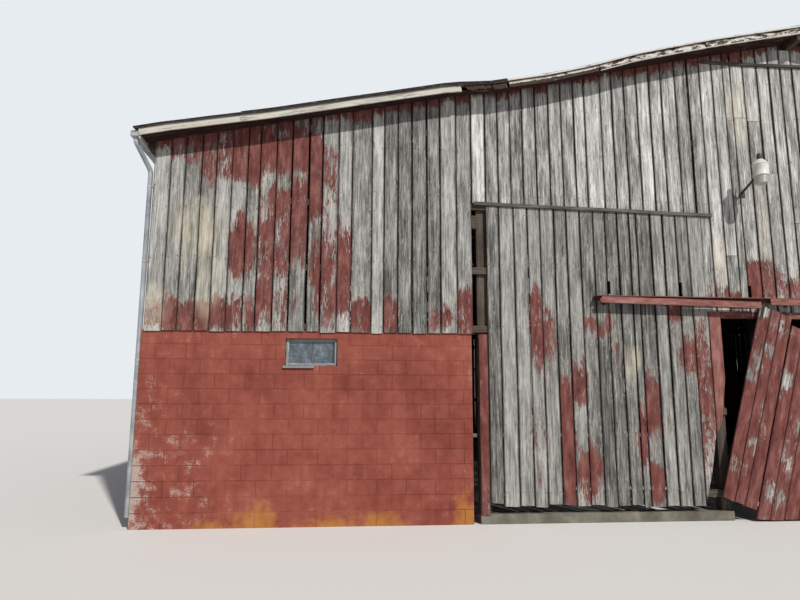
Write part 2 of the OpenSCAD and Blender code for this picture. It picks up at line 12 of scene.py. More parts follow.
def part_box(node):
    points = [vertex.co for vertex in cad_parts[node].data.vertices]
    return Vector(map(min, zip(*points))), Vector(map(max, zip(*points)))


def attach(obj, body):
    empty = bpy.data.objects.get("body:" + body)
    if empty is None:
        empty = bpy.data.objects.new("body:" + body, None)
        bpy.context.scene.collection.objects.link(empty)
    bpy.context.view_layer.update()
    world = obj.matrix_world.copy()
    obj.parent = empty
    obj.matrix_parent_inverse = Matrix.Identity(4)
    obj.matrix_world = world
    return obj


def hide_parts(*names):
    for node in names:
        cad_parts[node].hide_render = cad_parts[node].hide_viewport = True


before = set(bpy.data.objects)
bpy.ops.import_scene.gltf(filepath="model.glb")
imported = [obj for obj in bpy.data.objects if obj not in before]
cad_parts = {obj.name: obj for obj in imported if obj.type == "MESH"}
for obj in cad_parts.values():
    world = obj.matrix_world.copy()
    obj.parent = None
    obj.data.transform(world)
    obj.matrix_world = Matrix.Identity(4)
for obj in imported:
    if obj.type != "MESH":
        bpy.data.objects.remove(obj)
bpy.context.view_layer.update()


# Directions, and the two sides of the barn as signs of x
RIGHT, LEFT = (1, 0, 0), (-1, 0, 0)
REARWARD, FORWARD = (0, 1, 0), (0, -1, 0)
UP = (0, 0, 1)
SIDES = ((-1, "left"), (1, "right"))


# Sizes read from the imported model

def low(node):
    return np.array(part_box(node)[0], float)


def high(node):
    return np.array(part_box(node)[1], float)


FRONT = low("front_block_wall_left")[1]
BACK = high("rear_block_walls")[1]
MID_Y = (FRONT + BACK) / 2
BLOCK_X = -low("front_block_wall_left")[0]
BLOCK_END = -high("front_block_wall_left")[0]
BLOCK_TOP = high("front_block_wall_left")[2]
BLOCK_T = high("front_block_wall_left")[1] - FRONT
HALF_W = -low("front_boards_outer")[0]
OUTER_FOOT = low("front_boards_outer")[2]
BOARD_T = FRONT - low("front_boards_outer")[1]
TRIM_X = -low("trim_boards")[0]
JAMB_X = -low("door_header")[0]
DOOR_H = low("door_header")[2]
HEADER_TOP = high("door_header")[2]
RAIL_Z = high("front_boards_over_door")[2]
FOOTING_H = high("footings")[2]
SHEET_X = -low("roof_left")[0]
RIDGE_Z = high("roof_left")[2]
ROOF_FRONT = low("roof_left")[1]
ROOF_BACK = high("roof_left")[1]
RAKE_FRONT = low("rake_boards")[1]
RAKE_BACK = high("rake_boards")[1]
FASCIA_X = -low("rake_boards")[0]
GUTTER_X = -low("gutters")[0]
GUTTER_TOP = high("gutters")[2]
GUTTER_FOOT = low("gutters")[2]
PIPE_FOOT = low("downspouts")[2]
TRACK_X = high("door_track")[0]
TRACK_Y = high("door_leaf_left")[1]
HOOD_FOOT = low("track_hood")[2]
HOOD_FRONT = low("track_hood")[1]
WINDOW_Z = low("window_stiles")[2]
WINDOW_TOP = high("window_stiles")[2]
LAMP_X = (low("lamp_head")[0] + high("lamp_head")[0]) / 2
LAMP_Y = (low("lamp_head")[1] + high("lamp_head")[1]) / 2
LAMP_Z = low("lamp_head")[2]
LAMP_R = high("lamp_head")[0] - LAMP_X

# Sizes that no box gives, as in the model. END_POSTS is the depth of the walls less that between
# the middles of their end posts.
ROOF_PITCH = math.radians(11.9)
RISE = math.tan(ROOF_PITCH)
ROOFING_T = 0.03
RAKE_H = 0.1
TRIM_T = 0.02
TRIM_W = 0.13
JAMB_W = 0.19
BAY_X = 5.25
STRIP_T = 0.03
STRIP_H = 0.05
COURSE_H = 0.2032
BLOCK_L = 2 * COURSE_H
BAYS = 4
END_POSTS = 0.25
BAY_PITCH = (BACK - FRONT - END_POSTS) / BAYS
WINDOW_W = 0.72
FRONT_WINDOW_X = (HALF_W + BAY_X) / 2


def roof_top(x):
    return RIDGE_Z - abs(x) * RISE


def roof_under(x):
    return roof_top(x) - ROOFING_T / math.cos(ROOF_PITCH)


def between(x, a, b):
    """The value on the straight line through the points a and b, for a distance x from the middle."""
    return a[1] + (b[1] - a[1]) * (abs(x) - a[0]) / (b[0] - a[0])


def belt_z(x):
    """Height of the strip between the lower and the upper boards, coloured dark as painted shade."""
    return between(x, (JAMB_X, 4.48), (BAY_X, 4.56))


def foot_z(x):
    """Height of the foot of the lower boards, which rises away from the doorway."""
    return between(x, (JAMB_X, 0.18), (TRIM_X, 0.265))


# Gathering of shapes into pieces

class Parts:
    """Points, faces and numbers at the points of one piece, gathered shape by shape."""

    NUMBERS = ("tone", "paint", "stain", "edge")

    def __init__(self):
        self.points = []
        self.faces = []
        self.grain = []
        self.numbers = {name: [] for name in self.NUMBERS}
        self.size = 0

    def add(self, points, faces, grain=None, **numbers):
        points = np.asarray(points, float).reshape(-1, 3)
        count = len(points)
        self.points.append(points)
        self.faces += [tuple(int(i) + self.size for i in face) for face in faces]
        self.grain.append(points if grain is None else np.asarray(grain, float).reshape(-1, 3))
        for name in self.NUMBERS:
            value = numbers.get(name, 0.5 if name == "tone" else 0.0)
            self.numbers[name].append(np.broadcast_to(np.asarray(value, float), (count,)))
        self.size += count

    def make(self, name, material, slot, body="barn", replaces=(), smooth=None, bend=None):
        """Make the piece. bend moves its points, and edges sharper than smooth degrees stay sharp."""
        mesh = bpy.data.meshes.new(name)
        points = np.concatenate(self.points)
        if bend:
            points = bend(points)
        mesh.from_pydata(points.tolist(), [], self.faces)
        for key in self.NUMBERS:
            layer = mesh.attributes.new(key, "FLOAT", "POINT")
            layer.data.foreach_set("value", np.concatenate(self.numbers[key]).astype(np.float32))
        layer = mesh.attributes.new("grain", "FLOAT_VECTOR", "POINT")
        layer.data.foreach_set("vector", np.concatenate(self.grain).astype(np.float32).ravel())
        if smooth is not None:
            mesh.shade_smooth()
            mesh.set_sharp_from_angle(angle=math.radians(smooth))
        mesh.materials.append(MATERIALS[material])
        mesh.update()
        piece = bpy.data.objects.new(name, mesh)
        bpy.context.scene.collection.objects.link(piece)
        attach(piece, body)
        if replaces:
            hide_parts(*replaces)
        return piece


def ring_faces(rings, around):
    """Quads between rings of points that turn with the direction from ring to ring, and two caps."""
    faces = []
    for k in range(rings - 1):
        a, b = k * around, (k + 1) * around
        for i in range(around):
            j = (i + 1) % around
            faces.append((a + i, a + j, b + j, b + i))
    faces.append(tuple(reversed(range(around))))
    faces.append(tuple((rings - 1) * around + i for i in range(around)))
    return faces


def flipped(faces):
    return [face[::-1] for face in faces]


def shell(parts, top, under, grain, **numbers):
    """A thin sheet between two grids of points, closed round its rim. Out of the top points the
    cross product of the direction along a row with the direction from row to row."""
    rows, cols = top.shape[:2]
    index = np.arange(rows * cols).reshape(rows, cols)
    below = rows * cols
    quads = np.stack([index[:-1, :-1], index[:-1, 1:], index[1:, 1:], index[1:, :-1]], -1).reshape(-1, 4)
    rim = np.concatenate([index[0, :-1], index[:-1, -1], index[-1, :0:-1], index[:0:-1, 0]])
    after = np.roll(rim, -1)
    edges = np.stack([rim + below, after + below, after, rim], -1)
    faces = np.concatenate([quads, quads[:, ::-1] + below, edges])
    both = {key: np.tile(np.ravel(value), 2) for key, value in numbers.items()}
    points = np.concatenate([top.reshape(-1, 3), under.reshape(-1, 3)])
    parts.add(points, faces.tolist(), np.tile(grain.reshape(-1, 3), (2, 1)), **both)


def wobble(rng, size):
    """A smooth random curve over 0 to 1 that stays within about plus and minus size."""
    turns = 1.5
    phases = rng.uniform(0, 2 * math.pi, 3)
    rates = turns * np.array([1.0, 1.9, 3.3]) * rng.uniform(0.7, 1.3, 3)
    weights = np.array([0.6, 0.3, 0.15])

    def curve(t):
        t = np.asarray(t, float)
        return size * sum(w * np.sin(r * 2 * math.pi * t + p) for w, r, p in zip(weights, rates, phases))

    return curve


class Place:
    """A flat place to lay boards on: across, along and outward, with across x along = outward."""

    def __init__(self, origin, across, along):
        self.origin = np.array(origin, float)
        self.across = np.array(across, float)
        self.along = np.array(along, float)
        outward = np.cross(self.across, self.along)
        self.outward = outward / np.linalg.norm(outward)

    def at(self, u, s, d):
        u, s, d = (np.asarray(v, float)[..., None] for v in (u, s, d))
        return self.origin + u * self.across + s * self.along + d * self.outward


def plank(parts, place, left, right, start, stop, thick, rng, steps=8, depth=0.0, bow=0.003,
          chamfer=0.003, crown=0.001, slide=0.0, notch=None, paint=None, stain=None):
    """A sawn board from left to right across its place. start and stop give its ends for a place
    across, paint and stain their numbers for places across and along, moved along by up to slide.
    A notch (from, to, depth) is cut from its left edge."""
    width = right - left
    across = np.array([0, 0, chamfer, width / 2, width - chamfer, width, width])
    out = np.array([0, thick - chamfer, thick, thick + crown, thick, thick - chamfer, 0])
    t = np.linspace(0, 1, steps + 1)
    s0 = np.array([start(left + a) for a in across])
    s1 = np.array([stop(left + a) for a in across])
    cut = np.zeros((steps + 1, 1))
    if notch and s0[0] < notch[0] and notch[1] < s1[0]:
        low_end, high_end, size = notch
        ends = np.array([low_end - 0.002, low_end, high_end, high_end + 0.002])
        levels = (ends - s0[0]) / (s1[0] - s0[0])
        t = np.sort(np.concatenate([t, levels]))
        cut = np.where((t > levels[0]) & (t < levels[3]), size, 0.0)[:, None]
        cut = cut * np.array([1, 1, 1, 0, 0, 0, 0])
    s = s0 + (s1 - s0) * t[:, None]
    u = left + across + cut + wobble(rng, bow)(t)[:, None]
    outward = depth + wobble(rng, bow)(t)[:, None]
    seed = rng.uniform(0, 50)
    grain = np.stack([np.broadcast_to(across + out, s.shape), s, np.full(s.shape, seed)], -1)
    # edge marks a board's sides and chamfers, where the board materials paint shade into the gaps
    edge = np.broadcast_to(np.array([1, 1, 1, 0, 1, 1, 1.0]), s.shape)
    numbers = {"tone": rng.uniform(0, 1), "edge": edge.ravel()}
    middle = left + width / 2
    share, lift, moved = rng.uniform(0.2, 0.8), rng.uniform(-0.16, 0.16), rng.uniform(-slide, slide)
    for key, value in (("paint", paint), ("stain", stain)):
        if value is None:
            continue
        if callable(value):
            value = value(middle + share * (u - middle), s + moved)
            value = np.where(value > 0.05, value + lift, value)
        numbers[key] = np.broadcast_to(np.asarray(value, float), s.shape).ravel()
    parts.add(place.at(u, s, out + outward), ring_faces(len(t), len(across)), grain, **numbers)


def board_wall(parts, place, seams, foot, head, rng, thick=BOARD_T, gaps=(0.009, 0.030), ragged=0.012,
               bow=0.0018, nails=None, rows=(), notches=(), **look):
    """Boards side by side, one between each pair of seams. A few gaps are much wider than the rest.
    Nails go in pairs at the levels in rows that a board reaches."""
    for left, right in zip(seams, seams[1:]):
        gap = (gaps[0] + (gaps[1] - gaps[0]) * rng.uniform(0, 1) ** 2) / 2
        low_end, high_end = rng.uniform(-ragged, ragged), rng.uniform(-ragged, 0)
        skew = rng.uniform(-0.02, 0.02)
        middle = (left + right) / 2

        def start(u):
            return foot(u) + low_end + skew * (u - middle)

        def stop(u):
            return head(u) + high_end

        plank(parts, place, left + gap, right - gap, start, stop, thick - 0.002, rng,
              depth=rng.uniform(-0.002, 0.002), bow=bow, notch=dict(notches).get(left), **look)
        for level in rows:
            for u in (left + 0.035, right - 0.035):
                if start(u) + 0.03 < level < stop(u) - 0.03:
                    head_at = place.at(u, level + rng.uniform(-0.02, 0.02), thick - 0.001)
                    tube(nails, [head_at, head_at + 0.004 * place.outward], radius=0.006, around=6)


def board(parts, a, b, outward, width, thick, rng, ragged=0.004, skew=0.0, **look):
    """One board of a width about the line from a to b. outward is the side its face is on."""
    a, b = np.array(a, float), np.array(b, float)
    length = float(np.linalg.norm(b - a))
    along = (b - a) / length
    place = Place(a, np.cross(along, outward), along)
    low_end, high_end = rng.uniform(0, ragged, 2)
    slope = rng.uniform(-skew, skew)
    plank(parts, place, -width / 2, width / 2, lambda u: low_end + slope * (u + width / 2),
          lambda u: length - high_end, thick, rng, **look)


def even_seams(start, stop, rng, width=0.203, jitter=0.03):
    """Seams of boards about as wide as given, from start to stop."""
    count = max(1, round((stop - start) / width))
    seams = np.linspace(start, stop, count + 1)
    seams[1:-1] += rng.uniform(-jitter, jitter, count - 1)
    return seams


def tube(parts, path, radius, around):
    """A round bar along a path. radius is one number, or one for each point."""
    path = np.asarray(path, float)
    radii = np.broadcast_to(np.asarray(radius, float), (len(path),))
    tangents = np.gradient(path, axis=0)
    tangents /= np.linalg.norm(tangents, axis=1)[:, None]
    side = np.cross((0.31, 0.95, 0.05), tangents[0])
    points, grain, run = [], [], 0.0
    for k, (point, tangent, r) in enumerate(zip(path, tangents, radii)):
        side = side - (side @ tangent) * tangent
        side /= np.linalg.norm(side)
        up = np.cross(tangent, side)
        run += float(np.linalg.norm(point - path[k - 1])) if k else 0.0
        for i in range(around):
            angle = 2 * math.pi * i / around
            points.append(point + r * (math.cos(angle) * side + math.sin(angle) * up))
            grain.append((r * angle, run, 0.0))
    parts.add(points, ring_faces(len(path), around), grain)


def turned(parts, centre, profile, around):
    """A turned shape about the vertical through centre; profile lists (radius, height), foot first."""
    points = []
    for r, z in profile:
        for k in range(around):
            angle = 2 * math.pi * k / around
            x, y = centre[0] + r * math.cos(angle), centre[1] + r * math.sin(angle)
            points.append((x, y, centre[2] + z))
    parts.add(points, ring_faces(len(profile), around))


def bolt(parts, centre, outward):
    """A hexagon head on a washer, standing on the surface at centre."""
    radius, height = 0.006, 0.005
    centre, outward = np.array(centre, float), np.array(outward, float)
    tube(parts, [centre - 0.002 * outward, centre + 0.002 * outward], 1.6 * radius, around=16)
    head = [centre + 0.001 * outward, centre + height * outward, centre + (height + 0.0015) * outward]
    tube(parts, head, [radius, radius, 0.8 * radius], around=6)


# Materials

class Graph:
    """A material's node tree, built by short calls that each return a socket."""

    def __init__(self, name):
        self.material = bpy.data.materials.new(name)
        self.material.use_nodes = True
        self.tree = self.material.node_tree
        self.tree.nodes.clear()

    def node(self, kind, settings=(), **inputs):
        """A new node. Its inputs are named like From_Min, or by their number, like _0."""
        made = self.tree.nodes.new("ShaderNode" + kind)
        for key, value in dict(settings).items():
            setattr(made, key, value)
        for key, value in inputs.items():
            number = key[1:] if key[0] == "_" else ""
            self.put(made.inputs[int(number) if number.isdigit() else key.replace("_", " ")], value)
        return made

    def put(self, socket, value):
        if isinstance(value, bpy.types.NodeSocket):
            self.tree.links.new(value, socket)
        elif isinstance(value, tuple) and len(value) == 3 and socket.type == "RGBA":
            socket.default_value = (*value, 1.0)
        else:
            socket.default_value = value

    def place(self):
        return self.node("TexCoord").outputs["Object"]

    def number(self, name):
        return self.node("Attribute", {"attribute_name": name}).outputs["Fac"]

    def grain(self):
        return self.node("Attribute", {"attribute_name": "grain"}).outputs["Vector"]

    def stretch(self, vector, scale):
        return self.node("VectorMath", {"operation": "MULTIPLY"}, _0=vector, _1=scale).outputs[0]

    def noise(self, vector, scale, detail, rough):
        """Noise at a scale, which is one number, or one for each axis."""
        if isinstance(scale, tuple):
            vector, scale = self.stretch(vector, scale), 1.0
        made = self.node("TexNoise", Vector=vector, Scale=scale, Detail=detail, Roughness=rough)
        return made.outputs["Fac"]

    def cells(self, vector):
        return self.node("TexVoronoi", Vector=vector, Scale=1.0).outputs["Distance"]

    def math(self, operation, a, b=0.0):
        return self.node("Math", {"operation": operation}, _0=a, _1=b).outputs[0]

    def total(self, *terms):
        """The sum of values, each a socket or a (socket, factor) pair."""
        parts = [self.math("MULTIPLY", *term) if isinstance(term, tuple) else term for term in terms]
        value = parts[0]
        for part in parts[1:]:
            value = self.math("ADD", value, part)
        return value

    def remap(self, value, a, b, c=0.0, d=1.0):
        made = self.node("MapRange", Value=value, From_Min=a, From_Max=b, To_Min=c, To_Max=d)
        return made.outputs["Result"]

    def ramp(self, value, *stops):
        made = self.node("ValToRGB", Fac=value)
        elements = made.color_ramp.elements
        while len(elements) < len(stops):
            elements.new(0.5)
        for element, (position, color) in zip(elements, stops):
            element.position = position
            element.color = (*color, 1.0)
        return made.outputs["Color"]

    def mix(self, factor, a, b):
        return self.node("Mix", {"data_type": "RGBA"}, _0=factor, _6=a, _7=b).outputs[2]

    def bump(self, height, strength, distance):
        return self.node("Bump", Strength=strength, Distance=distance, Height=height).outputs["Normal"]

    def finish(self, color, roughness, normal=None, metallic=0.0, specular=0.3):
        shader = self.node("BsdfPrincipled", Base_Color=color, Roughness=roughness, Metallic=metallic,
                           Specular_IOR_Level=specular)
        if normal is not None:
            self.tree.links.new(normal, shader.inputs["Normal"])
        out = self.node("OutputMaterial")
        self.tree.links.new(shader.outputs[0], out.inputs[0])
        return self.material


# Colours from dark to light: weathered wood, the paint on it, and the paint on the soffits, darkened there as
# painted shade
GREYS = ((0.021, 0.020, 0.019), (0.125, 0.123, 0.115), (0.28, 0.277, 0.262), (0.57, 0.565, 0.535))
REDS = ((0.062, 0.017, 0.015), (0.148, 0.047, 0.040), (0.26, 0.118, 0.102))
SHADED_SOFFIT_REDS = ((0.012, 0.005, 0.004), (0.027, 0.010, 0.008), (0.055, 0.022, 0.018))
# The same for wood near the ground and for wood over the doorway, and a lighter red that paints sunlight onto
# the jambs and the hood
LOW_GREYS = ((0.018, 0.017, 0.016), (0.100, 0.098, 0.091), (0.23, 0.227, 0.213), (0.46, 0.455, 0.427))
PALE_GREYS = ((0.022, 0.021, 0.020), (0.155, 0.153, 0.145), (0.39, 0.386, 0.368), (0.82, 0.81, 0.775))
SUNLIT_REDS = ((0.11, 0.034, 0.029), (0.225, 0.092, 0.078), (0.35, 0.19, 0.165))
# The primer round the paint, then wood of the frame, and of the strips, bars and soffits; the dark of the
# strips and soffits is painted shade
PRIMER = (0.50, 0.465, 0.41)
# The frame's wood is made very dark: its own colour with painted shade in it
TIMBER_AND_SHADE = ((0.019, 0.015, 0.012), (0.050, 0.040, 0.031), (0.088, 0.071, 0.056), (0.15, 0.127, 0.105))
DARK_WOOD_AND_SHADE = ((0.02, 0.017, 0.015), (0.05, 0.043, 0.037), (0.09, 0.08, 0.07), (0.17, 0.155, 0.14))


def wood_color(g, greys, grain):
    """Sawn wood with fibres along the grain, broad tones, and a few dark knots."""
    fibres = g.noise(grain, (230.0, 7.0, 1.0), 5.0, 0.72)
    streaks = g.noise(grain, (42.0, 1.7, 1.0), 5.0, 0.65)
    broad = g.noise(grain, (9.0, 1.6, 1.0), 4.0, 0.6)
    tone = g.remap(g.number("tone"), 0, 1, -0.040, 0.042)
    value = g.total((fibres, 0.42), (streaks, 0.34), (broad, 0.24), tone)
    color = g.ramp(value, (0.365, greys[0]), (0.447, greys[1]), (0.52, greys[2]), (0.625, greys[3]))
    knot = g.remap(g.cells(g.stretch(grain, (7.0, 1.5, 1.0))), 0.035, 0.075, 0.7, 0.0)
    color = g.mix(knot, color, greys[0])
    return color, fibres, streaks


def painted_boards(name, greys=GREYS, reds=REDS):
    """Weathered boards with what is left of the paint, on a pale primer that shows round it."""
    g = Graph(name)
    grain = g.grain()
    wood, fibres, streaks = wood_color(g, greys, grain)
    # Wood at the board sides and chamfers is darkened: painted shade in the gaps between boards
    edge = g.remap(g.number("edge"), 0.82, 0.97)
    wood = g.mix(g.math("MULTIPLY", edge, 0.7), wood, greys[0])
    patches = g.noise(grain, (13.0, 2.6, 1.0), 5.0, 0.62)
    flakes = g.noise(grain, (75.0, 11.0, 1.0), 4.0, 0.62)
    amount = g.total(g.number("paint"), g.remap(patches, 0.25, 0.75, -0.40, 0.40),
                     g.remap(flakes, 0.25, 0.75, -0.42, 0.42), g.remap(fibres, 0.2, 0.8, -0.25, 0.25))
    mask = g.remap(amount, 0.43, 0.60)
    halo = g.remap(amount, 0.16, 0.44, 0.0, 0.62)
    light = g.remap(g.total(flakes, (streaks, 0.6)), 0.78, 0.92)
    wood = g.mix(g.math("MULTIPLY", halo, light), wood, PRIMER)
    chalk = g.noise(g.stretch(grain, (10.0, 2.4, 1.0)), 1.3, 5.0, 0.65)
    paint = g.ramp(g.total((chalk, 0.7), (fibres, 0.3)), (0.34, reds[0]), (0.50, reds[1]), (0.68, reds[2]))
    # Paint at the board sides is darkened too: painted shade in the gaps
    color = g.mix(mask, wood, g.mix(g.math("MULTIPLY", edge, 0.5), paint, reds[0]))
    stain = g.math("MULTIPLY", g.number("stain"), g.remap(patches, 0.35, 0.6, 0.15, 0.8))
    color = g.mix(stain, color, (0.60, 0.53, 0.40))
    height = g.total((fibres, 0.5), (streaks, 0.5), (mask, 0.12))
    return g.finish(color, 0.85, g.bump(height, 0.6, 0.006), specular=0.2)


def painted_block():
    """Chalky red paint on concrete blocks, washed out and stained near the ground."""
    g = Graph("painted_block")
    place = g.place()
    pores = g.noise(place, 90.0, 4.0, 0.65)
    cloud = g.noise(place, 1.3, 6.0, 0.62)
    blotch = g.noise(place, 7.0, 5.0, 0.65)
    runs = g.noise(place, (9.0, 9.0, 0.9), 4.0, 0.6)
    tone = g.remap(g.number("tone"), 0, 1, -0.018, 0.018)
    value = g.total((cloud, 0.5), (blotch, 0.3), (runs, 0.2), tone)
    # The red is set a little dark and mottled: the paint's own colour with some painted shade in it
    color = g.ramp(value, (0.34, (0.145, 0.034, 0.025)), (0.46, (0.215, 0.055, 0.039)),
                   (0.56, (0.265, 0.077, 0.055)), (0.70, (0.34, 0.14, 0.105)))
    worn = g.total(g.number("paint"), g.remap(blotch, 0.3, 0.7, -0.4, 0.4),
                   g.remap(pores, 0.3, 0.7, -0.3, 0.3))
    bare = g.ramp(pores, (0.3, (0.27, 0.21, 0.185)), (0.7, (0.50, 0.43, 0.385)))
    color = g.mix(g.remap(worn, 0.42, 0.75, 0.0, 0.9), color, bare)
    dirt = g.total(g.number("stain"), g.remap(cloud, 0.3, 0.7, -0.35, 0.35),
                   g.remap(blotch, 0.3, 0.7, -0.3, 0.3))
    color = g.mix(g.remap(dirt, 0.35, 1.05, 0.0, 0.75), color, (0.40, 0.175, 0.035))
    specks = g.noise(place, 34.0, 3.0, 0.7)
    color = g.mix(g.remap(specks, 0.70, 0.76, 0.0, 0.4), color, (0.60, 0.48, 0.43))
    return g.finish(color, 0.9, g.bump(g.total((pores, 0.6), (blotch, 0.4)), 0.5, 0.004), specular=0.2)


def mortar():
    """Joints that were painted over with the blocks, a little darker for the dirt they hold."""
    g = Graph("painted_mortar")
    place = g.place()
    grit = g.noise(place, 120.0, 3.0, 0.6)
    cloud = g.noise(place, 1.3, 6.0, 0.62)
    value = g.total((grit, 0.3), (cloud, 0.7))
    color = g.ramp(value, (0.38, (0.105, 0.026, 0.020)), (0.51, (0.185, 0.047, 0.034)),
                   (0.64, (0.28, 0.10, 0.075)))
    low_down = g.remap(g.node("SeparateXYZ", Vector=place).outputs["Z"], 0.0, 0.45, 0.8, 0.0)
    color = g.mix(g.math("MULTIPLY", low_down, g.remap(cloud, 0.4, 0.6)), color, (0.30, 0.15, 0.045))
    return g.finish(color, 0.95, g.bump(grit, 0.5, 0.003), specular=0.2)


def concrete():
    g = Graph("concrete")
    place = g.place()
    grit = g.noise(place, 60.0, 5.0, 0.65)
    cloud = g.noise(place, 3.0, 4.0, 0.6)
    # The concrete is dark for dirt, and darker still as painted shade at the foot of the walls
    color = g.ramp(cloud, (0.3, (0.085, 0.076, 0.062)), (0.5, (0.15, 0.136, 0.112)),
                   (0.72, (0.25, 0.23, 0.19)))
    color = g.mix(g.remap(grit, 0.55, 0.7, 0.0, 0.6), color, (0.10, 0.09, 0.07))
    return g.finish(color, 0.95, g.bump(grit, 0.7, 0.008), specular=0.2)


def bare_wood(name, greys):
    g = Graph(name)
    color, fibres, streaks = wood_color(g, greys, g.grain())
    return g.finish(color, 0.9, g.bump(g.total((fibres, 0.5), (streaks, 0.5)), 0.5, 0.006), specular=0.15)


def timber_in_place(name, along):
    """Timber for a node of the model, with its grain along x, y or z, or down the roof's slope."""
    g = Graph(name)
    place = g.place()
    if along == "slope":
        apart = g.node("SeparateXYZ", Vector=place)
        rise = g.math("MULTIPLY", g.math("ABSOLUTE", apart.outputs["X"]), RISE)
        level = g.math("ADD", apart.outputs["Z"], rise)
        place = g.node("CombineXYZ", X=apart.outputs["X"], Y=apart.outputs["Y"], Z=level).outputs[0]
        along = "x"
    scale = tuple(1.6 if axis == along else 75.0 for axis in "xyz")
    fibres = g.noise(place, scale, 5.0, 0.7)
    broad = g.noise(place, 1.7, 4.0, 0.6)
    value = g.total((fibres, 0.65), (broad, 0.35))
    color = g.ramp(value, (0.32, TIMBER_AND_SHADE[0]), (0.43, TIMBER_AND_SHADE[1]), (0.54, TIMBER_AND_SHADE[2]), (0.68, TIMBER_AND_SHADE[3]))
    return g.finish(color, 0.9, g.bump(fibres, 0.5, 0.006), specular=0.15)


def roof_metal():
    """Galvanised sheet that has lost its shine, with rust in runs down the slope and at the laps."""
    g = Graph("sheet_roofing")
    place, grain = g.place(), g.grain()
    spangle = g.noise(place, 26.0, 3.0, 0.6)
    cloud = g.noise(place, 0.55, 5.0, 0.6)
    runs = g.noise(grain, (11.0, 0.7, 1.0), 5.0, 0.65)
    fine = g.noise(place, 48.0, 4.0, 0.7)
    zinc = g.ramp(spangle, (0.3, (0.22, 0.225, 0.23)), (0.55, (0.33, 0.34, 0.345)),
                  (0.75, (0.43, 0.435, 0.43)))
    amount = g.total((runs, 0.55), (cloud, 0.45), g.remap(g.number("tone"), 0, 1, -0.05, 0.05),
                     (g.number("stain"), 0.13), g.remap(fine, 0.3, 0.7, -0.05, 0.05))
    rust = g.ramp(fine, (0.3, (0.085, 0.030, 0.014)), (0.52, (0.18, 0.062, 0.026)),
                  (0.75, (0.29, 0.12, 0.055)))
    mask = g.remap(amount, 0.46, 0.60)
    color = g.mix(mask, zinc, rust)
    return g.finish(color, g.remap(mask, 0.0, 1.0, 0.66, 0.92), g.bump(fine, 0.35, 0.002),
                    metallic=g.remap(mask, 0.0, 1.0, 0.3, 0.0), specular=0.3)


def flaking_paint(name, tint, wear):
    """Old white paint that flakes along the grain down to grey wood."""
    g = Graph(name)
    grain = g.grain()
    wood, fibres, _ = wood_color(g, GREYS, grain)
    patches = g.noise(grain, (16.0, 2.2, 1.0), 5.0, 0.65)
    amount = g.total(g.remap(patches, 0.25, 0.75, 0.0, 1.0), g.remap(fibres, 0.3, 0.7, -0.15, 0.15))
    mask = g.remap(amount, 0.22 + wear, 0.36 + wear)
    dirt = g.noise(grain, (8.0, 1.1, 1.0), 4.0, 0.6)
    paint = g.mix(g.remap(dirt, 0.35, 0.75), tint, tuple(0.6 * c for c in tint))
    color = g.mix(mask, wood, paint)
    return g.finish(color, 0.75, g.bump(g.total((mask, 0.4), fibres), 0.35, 0.003), specular=0.25)


def rusty_edging():
    """Painted edging gone to rust: white flakes on brown."""
    g = Graph("rusty_edging")
    grain = g.grain()
    flakes = g.noise(grain, (24.0, 6.0, 1.0), 5.0, 0.68)
    fine = g.noise(grain, (90.0, 40.0, 1.0), 4.0, 0.65)
    amount = g.total(flakes, g.remap(fine, 0.3, 0.7, -0.08, 0.08),
                     g.remap(g.number("paint"), 0, 1, -0.24, 0.14))
    rust = g.ramp(fine, (0.3, (0.022, 0.012, 0.010)), (0.55, (0.055, 0.028, 0.021)),
                  (0.75, (0.13, 0.075, 0.055)))
    color = g.mix(g.remap(amount, 0.46, 0.53), rust, (0.58, 0.56, 0.51))
    return g.finish(color, 0.85, g.bump(amount, 0.5, 0.004), specular=0.25)


def tarred_edge():
    """The black edge of the roofing, with a few rusty and pale scabs."""
    g = Graph("tarred_edge")
    scabs = g.noise(g.grain(), (30.0, 9.0, 1.0), 5.0, 0.7)
    color = g.ramp(scabs, (0.30, (0.010, 0.009, 0.009)), (0.52, (0.022, 0.018, 0.016)),
                   (0.62, (0.06, 0.040, 0.030)), (0.72, (0.22, 0.19, 0.16)))
    return g.finish(color, 0.85, g.bump(scabs, 0.6, 0.005), specular=0.2)


def gutter_metal():
    g = Graph("gutter_metal")
    place = g.place()
    cloud = g.noise(place, 3.5, 5.0, 0.6)
    runs = g.noise(place, (26.0, 26.0, 2.4), 4.0, 0.6)
    # The grey is dark and bluish: the metal's own colour with painted shade in it
    color = g.ramp(cloud, (0.32, (0.20, 0.22, 0.235)), (0.52, (0.33, 0.355, 0.37)),
                   (0.72, (0.48, 0.50, 0.49)))
    color = g.mix(g.remap(runs, 0.60, 0.78, 0.0, 0.65), color, (0.20, 0.12, 0.07))
    return g.finish(color, 0.55, g.bump(cloud, 0.1, 0.002), metallic=0.1, specular=0.4)


def rusty_steel():
    g = Graph("rusty_steel")
    place = g.place()
    scale = g.noise(place, 60.0, 5.0, 0.7)
    cloud = g.noise(place, 6.0, 4.0, 0.6)
    value = g.total((scale, 0.5), (cloud, 0.5))
    color = g.ramp(value, (0.32, (0.022, 0.014, 0.011)), (0.50, (0.055, 0.030, 0.021)),
                   (0.68, (0.13, 0.068, 0.045)))
    return g.finish(color, 0.88, g.bump(scale, 0.5, 0.002), metallic=0.15, specular=0.3)


